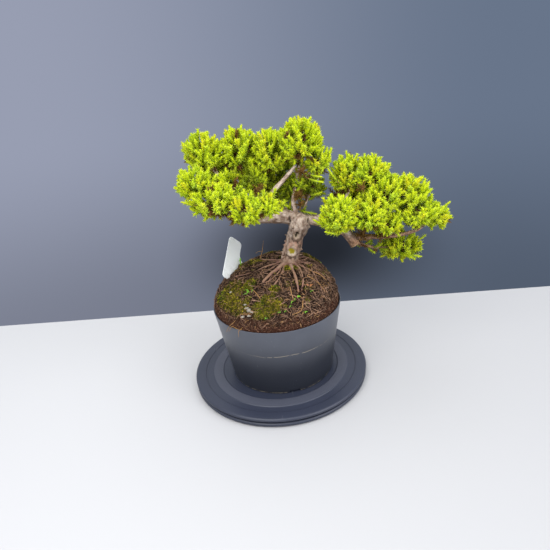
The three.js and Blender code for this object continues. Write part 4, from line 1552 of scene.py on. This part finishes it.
def growBunch(twigs, name, home, rng):
    centre, half = home
    spread = (half.x * half.y * half.z) ** (1 / 3)
    count = round(4 * math.pi * spread ** 2 / shoot["spacing"] ** 2)
    for i in range(count):
        angle = i * math.pi * (3 - math.sqrt(5)) + rng.uniform(-0.3, 0.3)
        growLeader(twigs, name, home, evenWay(i, count, angle), rng)
    inner = round(count * shoot["innerShare"])
    for i in range(inner):
        out = evenWay(i, inner, i * 2.4 + 1)
        tip = centre + out * half * rng.uniform(*shoot["innerReach"])
        endWay = (out + Vector((0, 0, 0.7))).normalized()
        axis = bentLine(tip, out, endWay, rng.uniform(*shoot["length"]) * 0.8, 4)
        dead = rng.random() < shoot["deadInside"]
        twigs.leafy(axis, "leader", rng.uniform(-1, 0.2), dead, shoot["shaded"])


def shortShoot(foot, out, lift, length):
    # A short shoot that leaves its foot along out and bends up.
    up = (out + Vector((0, 0, lift))).normalized()
    return bentLine(foot + (out + up) * length / 2, out, up, length, 3)


def growOnBranches(twigs, rng):
    # Short shoots along the branches, single ones that stand out, and tufts.
    step, shortest, longest = shoot["onBranches"]
    for branch, bare in zip(branches, bareShares):
        line = [at(*point) for point in branch[0]]
        count = round(sum((b - a).length for a, b in zip(line, line[1:])) * (1 - bare) / step)
        for k in range(count):
            share = blend(bare, 0.98, (k + rng.random()) / count)
            way = (curvePoint(line, share + 0.02) - curvePoint(line, share - 0.02)).normalized()
            out = turnedFrom(way, rng.uniform(0.7, 1.1), k * 2.4)
            points = shortShoot(curvePoint(line, share), out, 0.7, rng.uniform(shortest, longest))
            dead = rng.random() < shoot["deadOnBranches"]
            twigs.leafy(points, "side", rng.uniform(-1, 0.3), dead, shoot["shaded"], 0.1)
    for foot, tip, *shade in singles:
        low, high = at(*foot), at(*tip)
        middle = low.lerp(high, 0.5) - Vector((0, 0, 1.2 * mm))
        points = [curvePoint([low, middle, high], i / 5) for i in range(6)]
        depth = shade[0] if shade else 0.1
        twigs.line(points, shoot["slender"], leafy=1, tone=rng.uniform(-0.6, 0.8), dead=0, depth=depth)
    tufts = [(*tuft, 0, 1) for tuft in deadTufts] + [(*tuft, 0) for tuft in liveTufts]
    for x, y, z, count, reach, depth, dead in tufts:
        for k in range(count):
            out = evenWay(k, count, 2.4 * k)
            points = shortShoot(at(x, y, z), out, 0.5, rng.uniform(0.7, 1.2) * reach * mm)
            twigs.leafy(points, "tuft", rng.uniform(-1, 1), dead, depth, 0.2)


def needleTree():
    # Whorls of three needles along lines, with stems, and wood on the lines that carry none.
    tree, sheet, given = geometryTree(
        "needles", Whorl="Object", Step="Float", Length="Float", OpenBase="Float", OpenTip="Float",
        Seed="Int", Leaf="Material", Wood="Material",
    )
    seed = given["Seed"]
    lines = sheet.add("GeometryNodeMeshToCurve", {0: given["Geometry"]})
    places = sheet.add("GeometryNodeResampleCurve", {"Curve": lines, "Length": given["Step"]}, mode="LENGTH")
    along = sheet.read("along")
    wide = sheet.rise(along, 0.7, 1, given["OpenBase"], given["OpenTip"])
    tall = sheet.rise(along, 0.1, 1, 0.75, 0.95)
    youth = sheet.rise(along, 0.78, 1, 1, 0.5)
    size = given["Length"] * youth * sheet.random(0.82, 1.15, seed)
    scale = sheet.add("ShaderNodeCombineXYZ", {0: size * wide, 1: size * wide, 2: size * tall})
    way = sheet.add("GeometryNodeInputTangent")
    stand = sheet.add("FunctionNodeAlignRotationToVector", {"Vector": way}, axis="Z")
    order = sheet.add("GeometryNodeInputIndex") * (math.pi / 3)
    stand = sheet.spun(stand, (0, 0, 1), order + sheet.random(-0.35, 0.35, seed + 1))
    stand = sheet.spun(stand, (1, 0, 0), sheet.random(-0.2, 0.2, seed + 2))
    sockets = {0: sheet.read("leafy") * along, 1: 0.17}
    leafy = sheet.add("FunctionNodeCompare", sockets, data_type="FLOAT", operation="GREATER_THAN")
    whorl = sheet.add("GeometryNodeObjectInfo", {"Object": given["Whorl"]}, "Geometry")
    sockets = {"Points": places, "Selection": leafy, "Instance": whorl, "Rotation": stand, "Scale": scale}
    copies = sheet.add("GeometryNodeInstanceOnPoints", sockets)
    needles = sheet.coated(sheet.add("GeometryNodeRealizeInstances", {0: copies}), given["Leaf"])
    circle = sheet.add("GeometryNodeCurvePrimitiveCircle", {"Resolution": 4, "Radius": 1.0})
    sockets = {"Curve": lines, "Profile Curve": circle, "Scale": sheet.read("thick"), "Fill Caps": True}
    stems = sheet.coated(sheet.add("GeometryNodeCurveToMesh", sockets), given["Wood"])
    stems = sheet.coated(stems, given["Leaf"], Selection=leafy)
    sheet.end("NodeGroupOutput", sheet.add("GeometryNodeJoinGeometry", {0: [needles, stems]}))
    return tree


def leafMaterial():
    material, sheet, feed = newMaterial("needles", Specular_IOR_Level=0.14, Roughness=0.55)
    place = sheet.place()
    names = ("along", "tone", "dead", "depth", "blade", "band")
    along, tone, dead, depth, blade, band = [sheet.named(name) for name in names]
    cloud = sheet.grain(place, 34, 2)
    fine = sheet.grain(place, 700, 2)
    age = along + (cloud - 0.5) * 0.35 + (fine - 0.5) * 0.3
    feed(Base_Color=sheet.layered(
        leafColours["old"],
        (sheet.rise(age, 0.0, 0.45), leafColours["full"]),
        (sheet.rise(age, 0.45, 0.95), leafColours["young"]),
        (sheet.rise(age, 0.85, 1.1) * sheet.rise(blade, 0.2, 1), leafColours["tip"]),
        (sheet.rise(tone, 0.4, 1.3) * 0.34, leafColours["gold"]),
        (sheet.fall(tone, -1.2, -0.4) * 0.35, leafColours["cool"]),
        (band * 0.42 * (1 - sheet.rise(along, 0.6, 1)), leafColours["blue"]),
        # Painted shade: the deep green at each shoot's foot and by the depth attribute.
        (sheet.rise(along, 0.0, 0.4, 0.35, 0), leafColours["deep"]),
        (depth * 0.7, leafColours["deep"]),
        (dead * 0.92, sheet.mix(fine, leafColours["deadDark"], leafColours["dead"])),
    ))
    feed(Normal=sheet.bump(fine, 0.6 * mm, 0.5))
    return material


def twigMaterial():
    material, sheet, feed = newMaterial("twigs", Roughness=0.8, Specular_IOR_Level=0.3)
    cloud = sheet.grain(sheet.place(), 400, 3)
    young = sheet.rise(sheet.named("along"), 0.2, 0.9) * sheet.rise(sheet.named("leafy"), 0.4, 0.6)
    feed(Base_Color=sheet.mix(young, sheet.mix(cloud, *leafColours["twig"]), leafColours["youngStem"]))
    feed(Normal=sheet.bump(cloud, 0.2 * mm, 0.6))
    return material


def whorlShape():
    lean = math.radians(46)
    needles = [awlShape(1.0, shoot["needleWidth"], lean, 2 * math.pi * k / 3) for k in range(3)]
    attributes = {"blade": [0, 0, 0, 1] * 3, "band": [1, 1, 0, 0.2] * 3}
    return newPiece("whorl", needles, flat=True, attributes=attributes)


def buildFoliage():
    leaf, wood = leafMaterial(), twigMaterial()
    whorl = whorlShape()
    tree = needleTree()
    for number, (name, bunches) in enumerate([*allBunches.items(), ("foliage_on_branches", [])]):
        rng = random.Random(shoot["seed"] * 100 + number)
        twigs = Twigs()
        for home in bunches:
            growBunch(twigs, name, home, rng)
        if not bunches:
            growOnBranches(twigs, rng)
        mesh = bpy.data.meshes.new(name)
        mesh.from_pydata([tuple(p) for p in twigs.points], twigs.edges, [])
        for key, values in twigs.values.items():
            setAttribute(mesh, key, values)
        spray = grown(
            linked(name + "_lines", mesh), tree, name.replace("foliage", "needles"), Whorl=whorl,
            Step=shoot["whorlStep"], Length=shoot["needle"], OpenBase=shoot["openBase"],
            OpenTip=shoot["openTip"], Seed=number + 1, Leaf=leaf, Wood=wood,
        )
        finished(spray, "turning", "foliage", *([name] if bunches else []))
        print(spray.name, len(spray.data.polygons), "faces")
    bpy.data.objects.remove(whorl)


buildFoliage()
print("foliage grown")


# Plant label

label = {
    "length": 64, "width": 25, "stem": 7, "stemLength": 34, "point": 6, "corner": 5, "fillet": 12,
    "thick": 0.9 * mm,
    "centre": at(-52.8, 36, 170.5),
    "up": Vector((0.222, 0.753, 0.619)).normalized(),
    "across": Vector((0.583, 0.406, -0.704)),
    "edge": 0.2 * mm,
    "colour": paint(253, 255, 255),
    "cloud": paint(244, 249, 255),
    "soiling": paint(120, 98, 80),
}


def arc(centreX, centreY, radius, start, steps=7):
    # The points of a quarter circle from an angle in degrees. A negative radius turns clockwise.
    way = 90 if radius > 0 else -90
    angles = [math.radians(start + way * i / steps) for i in range(steps + 1)]
    return [ringPoint((centreX, centreY), abs(radius), angle, 0)[:2] for angle in angles]


def labelOutline():
    long, wide, stem = label["length"] / 2, label["width"] / 2, label["stem"] / 2
    corner, fillet, point = label["corner"], label["fillet"], label["point"]
    end = wide + label["stemLength"]
    outline = arc(-wide + corner, -long + corner, corner, 180)
    outline += arc(wide - corner, -long + corner, corner, 270)
    outline += arc(wide + fillet, -stem - fillet, -fillet, 180)
    outline += [(end - point, -stem), (end, 0), (end - point, stem)]
    outline += arc(wide + fillet, stem + fillet, -fillet, 270)
    outline += arc(wide - corner, long - corner, corner, 0)
    return outline + arc(-wide + corner, long - corner, corner, 90)


def labelPlastic():
    material, sheet, feed = newMaterial("labelPlastic", IOR=1.5, Specular_IOR_Level=0.5)
    place = sheet.place()
    z = sheet.axes(place)[2]
    cloud = sheet.grain(place, 60, 4)
    fine = sheet.grain(place, 500, 3)
    soiled = sheet.fall(z, 150 * mm, 172 * mm) * sheet.rise(cloud + fine * 0.5, 0.62, 0.92)
    specks = sheet.fall(sheet.cells(place, 240), 0.05, 0.14) * sheet.rise(cloud, 0.5, 0.66)
    layers = [(cloud * 0.4, label["cloud"]), (soiled * 0.5 + specks * 0.45, label["soiling"])]
    feed(Base_Color=sheet.layered(label["colour"], *layers))
    feed(Roughness=0.36 + 0.2 * cloud + soiled * 0.3)
    feed(Normal=sheet.bump(cloud + fine * 0.2, 0.12 * mm, 0.5))
    return material


def buildLabel():
    facing = label["across"].cross(label["up"]).normalized()
    across = label["up"].cross(facing).normalized()
    pose = Matrix((across, label["up"], facing)).transposed()
    back = -label["thick"] / 2
    body = bmesh.new()
    outline = [label["centre"] + pose @ Vector((x * mm, y * mm, back)) for x, y in labelOutline()]
    face = body.faces.new([body.verts.new(point) for point in outline])
    made = bmesh.ops.extrude_face_region(body, geom=[face])
    moved = [item for item in made["geom"] if isinstance(item, bmesh.types.BMVert)]
    bmesh.ops.translate(body, vec=facing * label["thick"], verts=moved)
    bmesh.ops.remove_doubles(body, verts=body.verts, dist=1e-6)
    bmesh.ops.recalc_face_normals(body, faces=body.faces)
    mesh = bpy.data.meshes.new("label_blank")
    body.to_mesh(mesh)
    body.free()
    mesh.materials.append(labelPlastic())
    blank = linked("label_blank", mesh)
    edges = blank.modifiers.new("edges", "BEVEL")
    edges.width = label["edge"]
    edges.segments = 2
    edges.limit_method = "ANGLE"
    edges.angle_limit = math.radians(50)
    finished(baked(blank), "turning", "plant_label", "plant_label")


buildLabel()
print("label built")


# Small things on the soil

def blade(route, width, thick=0.25 * mm, steps=7):
    # A thin closed leaf blade along a route, widest before its middle.
    points, ways = alongRoute(route, steps)[:2]
    made = []
    for i, (point, way) in enumerate(zip(points, ways)):
        half = width / 2 * math.sin(math.pi * (0.12 + 0.86 * i / steps) ** 0.8) + 0.05 * mm
        side = way.cross(Vector((0, 0, 1)))
        side = side.normalized() if side.length > 1e-3 else Vector((1, 0, 0))
        up = side.cross(way).normalized() * thick / 2
        made += [point - side * half, point - up, point + side * half, point + up]
    end = 4 * steps
    faces = [(3, 2, 1, 0), (end, end + 1, end + 2, end + 3)]
    for low in range(0, end, 4):
        for k in range(4):
            j = (k + 1) % 4
            faces.append((low + k, low + j, low + 4 + j, low + 4 + k))
    return made, faces


def leafFrom(x, y, turn, length, height, width):
    way = Vector((math.cos(turn), math.sin(turn), 0)) * length * mm
    rise = Vector((0, 0, height * mm))
    foot = onSoil(x, y, -0.5)
    return blade([foot, foot + way * 0.45 + rise, foot + way + rise * 0.55], width * mm)


# Each leaf as its foot's x and y, turn, length, height and width. Each rosette as x, y, leaves and length.
weeds = {
    "leaves": [
        (-30, -43, 2.6, 8, 4.5, 1.7), (-30, -43, -2.2, 7, 3.5, 1.6), (-28, -44, 0.6, 5, 4, 1.5),
        (-33, -45, 3.4, 6, 2.5, 1.6), (-33, -42, 1.6, 4, 3, 1.4),
        (24, -69, -2.0, 9, 3.5, 1.5), (26, -66, -1.6, 7, 3, 1.5), (22, -73, -2.3, 7, 2.6, 1.4),
        (40, -68, 1.4, 5, 2.5, 1.5), (15, -77, -2.4, 6, 2, 1.4), (46, -54, 0.3, 6, 1.5, 1.2),
        (-42, 36, 1.3, 5, 12, 1.7), (-41, 36, 2.3, 5, 9, 1.5),
        (30, 60, 1.2, 7, 4, 1.7), (31, 61, 2.6, 6, 3, 1.5), (-60, 20, 2.8, 7, 3, 1.6),
    ],
    "rosettes": [
        (37, -75, 5, 3.4), (31, -62, 5, 3.0), (5, -78, 5, 2.6), (-12, -80, 4, 2.6), (70, 30, 5, 3.0),
    ],
    "colours": (paint(96, 168, 30), paint(150, 208, 60)),
}
deadLeaves = {
    "leaves": [(47, -46, 0.4, 6, 2.4, 4.2), (46, -45, 2.6, 4, 2.2, 3.2), (-52, 0, 0.2, 6, 1.4, 3.0)],
    "colours": (paint(142, 84, 44), paint(206, 138, 84)),
}
# Each chip as x, y, radius and how flat it is.
chips = {
    "places": [
        (-35, -63, 3.0, 0.4), (-32, -67, 3.4, 0.35), (-36, -58, 2.2, 0.4), (-29, -70, 2.8, 0.35),
        (-33, -72, 2.4, 0.4), (-41, -69, 2.0, 0.6), (-55, -28, 1.9, 0.9), (12, 64, 2.6, 0.7),
    ],
    "colours": (paint(124, 116, 104), paint(184, 176, 162)),
}
strawColours = (paint(164, 122, 74), paint(206, 172, 122))
# Each straw as points over the soil with their lift, points beyond the pot's rim, and radius.
straws = [
    ([(-24, -76, 0.6), (-38, -74, 1.0), (-47, -71, 0.6)], [(-56, -66, 121), (-62, -62, 112)], 0.45),
    ([(-30, -72, 0.8), (-44, -66, 1.6), (-54, -64, 0.8)], [(-60, -61.5, 119.6), (-66, -56, 108)], 0.4),
    ([(-40, -74, 0.5), (-46, -73, 0.7)], [(-48, -76, 119.8), (-49, -76.5, 111)], 0.38),
    ([(-16, -62, 0.8), (-22, -48, 1.6), (-29, -36, 0.6)], [], 0.5),
    ([(36, -66, 0.8), (32, -76, 1.4), (20, -80, 0.5)], [], 0.5),
    ([(22, -48, 0.5), (23, -62, 1.2), (25, -72, 0.4)], [], 0.55),
    ([(46, -30, 0.8), (60, -38, 1.3), (70, -44, 0.4)], [], 0.5),
    ([(50, -16, 0.8), (66, -22, 1.5), (76, -26, 0.4)], [], 0.55),
    ([(-64, -6, 0.6), (-52, -12, 1.6), (-38, -16, 0.6)], [], 0.5),
]


def buildStraws():
    shapes = []
    for inside, outside, radius in straws:
        route = [onSoil(*point) for point in inside] + [at(*point) for point in outside]
        shapes.append(tube(route, [radius * mm, radius * mm, radius * 0.5 * mm], 5, 18, 0.3))
    wisp = [onSoil(-14, 35, -1), onSoil(-10, 37, 8), onSoil(-8, 38, 15), onSoil(-6, 38, 24)]
    shapes.append(tube(wisp, [0.45 * mm, 0.35 * mm, 0.18 * mm], 5, 14, 0.4))
    side = [onSoil(-9.5, 37, 9), onSoil(-14, 38, 11), onSoil(-19, 38, 10)]
    shapes.append(tube(side, [0.3 * mm, 0.18 * mm], 5, 8))
    finished(newPiece("straws", shapes, [tonedMaterial("straw", strawColours)]), "turning", "soil")


def chipShape(x, y, size, flat):
    middle = onSoil(x, y, 0.6)

    def rough(point):
        swell = 1 + 0.9 * noise.noise(point * 420 + Vector((x, y, 0)))
        return middle + Vector((point.x, point.y, point.z * flat)) * swell

    return pebble(size * mm, 2, rough)


def buildSmallThings():
    shapes = [leafFrom(*leaf) for leaf in weeds["leaves"]]
    for x, y, count, length in weeds["rosettes"]:
        for k in range(count):
            shapes.append(leafFrom(x, y, 2 * math.pi * k / count + 0.3 * x, length, 1.6, 1.9))
    green = cloudedMaterial("weedLeaves", weeds["colours"], 300, 2, Roughness=0.45, Specular_IOR_Level=0.4)
    finished(newPiece("weeds", shapes, [green]), "turning", "soil")
    buildStraws()
    chip = cloudedMaterial("chips", chips["colours"], 260, 4, 0.5 * mm, Roughness=0.85)
    shapes = [chipShape(*place) for place in chips["places"]]
    finished(newPiece("pale_chips", shapes, [chip]), "turning", "soil")
    dry = cloudedMaterial("deadLeaf", deadLeaves["colours"], 300, 3, Roughness=0.6)
    shapes = [leafFrom(*leaf) for leaf in deadLeaves["leaves"]]
    finished(newPiece("dead_leaf", shapes, [dry]), "turning", "soil")


buildSmallThings()
print("small things built")


# Studio

studio = {
    "backEdge": ((-390.3, 223.5), (375.5, 173.4)),
    "reach": 1100,
    "front": -1500,
    "floorTop": -0.2,
    "floorUnder": -30.2,
    "slope": (-0.3, 0.45),
    "floorLeft": paint(198, 197, 199),
    "floorRight": paint(180, 179, 181),
    "wallLeft": paint(152, 158, 178),
    "wallRight": paint(104, 117, 138),
    # The direction of the tree's painted shadow on the backdrop.
    "shade": (0.085, 0.921, -0.381),
    "skyLight": 0.76,
    "sky": (0.9, 0.95, 1.0, 1),
    "target": at(40, 0, 180),
}
# Each light as its place, size, power and colour.
lights = {
    "key": (at(-560, -900, 1350), 1.3, 16.0, (1, 0.985, 0.96)),
    "top": (at(100, 200, 1500), 1.4, 6.0, (1, 1, 1)),
    "fill": (at(950, -760, 900), 1.2, 12.0, (0.95, 0.97, 1)),
}


def buildFloor():
    (x1, y1), (x2, y2) = studio["backEdge"]
    slope = (y2 - y1) / (x2 - x1)
    reach, front = studio["reach"], studio["front"]
    left, right = y1 + slope * (-reach - x1), y1 + slope * (reach - x1)
    corners = ((-reach, front), (reach, front), (reach, right), (-reach, left))
    under, over = [[at(x, y, z) for x, y in corners] for z in (studio["floorUnder"], studio["floorTop"])]
    material, sheet, feed = newMaterial("tableTop", Roughness=0.55, Specular_IOR_Level=0.3)
    # Painted shade: the table top darker towards the right, away from the light on the left.
    across = sheet.rise(sheet.axes(sheet.place())[0], *studio["slope"])
    feed(Base_Color=sheet.mix(across, studio["floorLeft"], studio["floorRight"]))
    newPiece("floor", [boxShape(under, over)], [material], flat=True)


def buildWorld():
    world = bpy.data.worlds.new("studio")
    scene.world = world
    world.use_nodes = True
    world.node_tree.nodes.clear()
    sheet = NodeSheet(world.node_tree)
    way = sheet.place("Generated")
    x, z = sheet.axes(way)[::2]
    # Painted light on the backdrop: lighter on the left, darker to the right.
    wall = sheet.mix(sheet.rise(x, -0.42, 0.46), studio["wallLeft"], studio["wallRight"])
    # Painted shade: darker towards the bottom, and the tree's shadow as a dark patch around the shade
    # direction.
    far = sheet.vector("MULTIPLY", sheet.vector("SUBTRACT", way, studio["shade"]), (1, 1, 1.9))
    far = sheet.vector("LENGTH", far, output="Value")
    paintedBackdropShade = sheet.rise(z, -0.46, -0.12, 0.62, 1) * sheet.rise(far, 0.03, 0.3, 0.13, 1)
    seen = sheet.add("ShaderNodeBackground", {"Color": wall, "Strength": paintedBackdropShade})
    glow = sheet.rise(z, -0.4, 0.9, 0.45, 1.25) * studio["skyLight"]
    light = sheet.add("ShaderNodeBackground", {"Color": studio["sky"], "Strength": glow})
    direct = sheet.add("ShaderNodeLightPath", output="Is Camera Ray")
    both = sheet.add("ShaderNodeMixShader", {0: direct, 1: light, 2: seen})
    sheet.end("ShaderNodeOutputWorld", both, "Surface")


def addLight(name, place, size, power, colour):
    data = bpy.data.lights.new(name, "AREA")
    data.shape = "DISK"
    data.size = size
    data.energy = power
    data.color = colour
    holder = linked(name, data)
    holder.location = place
    holder.rotation_mode = "QUATERNION"
    holder.rotation_quaternion = (studio["target"] - place).to_track_quat("-Z", "Y")
    holder.visible_camera = False


buildFloor()
buildWorld()
for name, settings in lights.items():
    addLight(name, *settings)
scene.view_settings.view_transform = "Standard"
print("studio built")
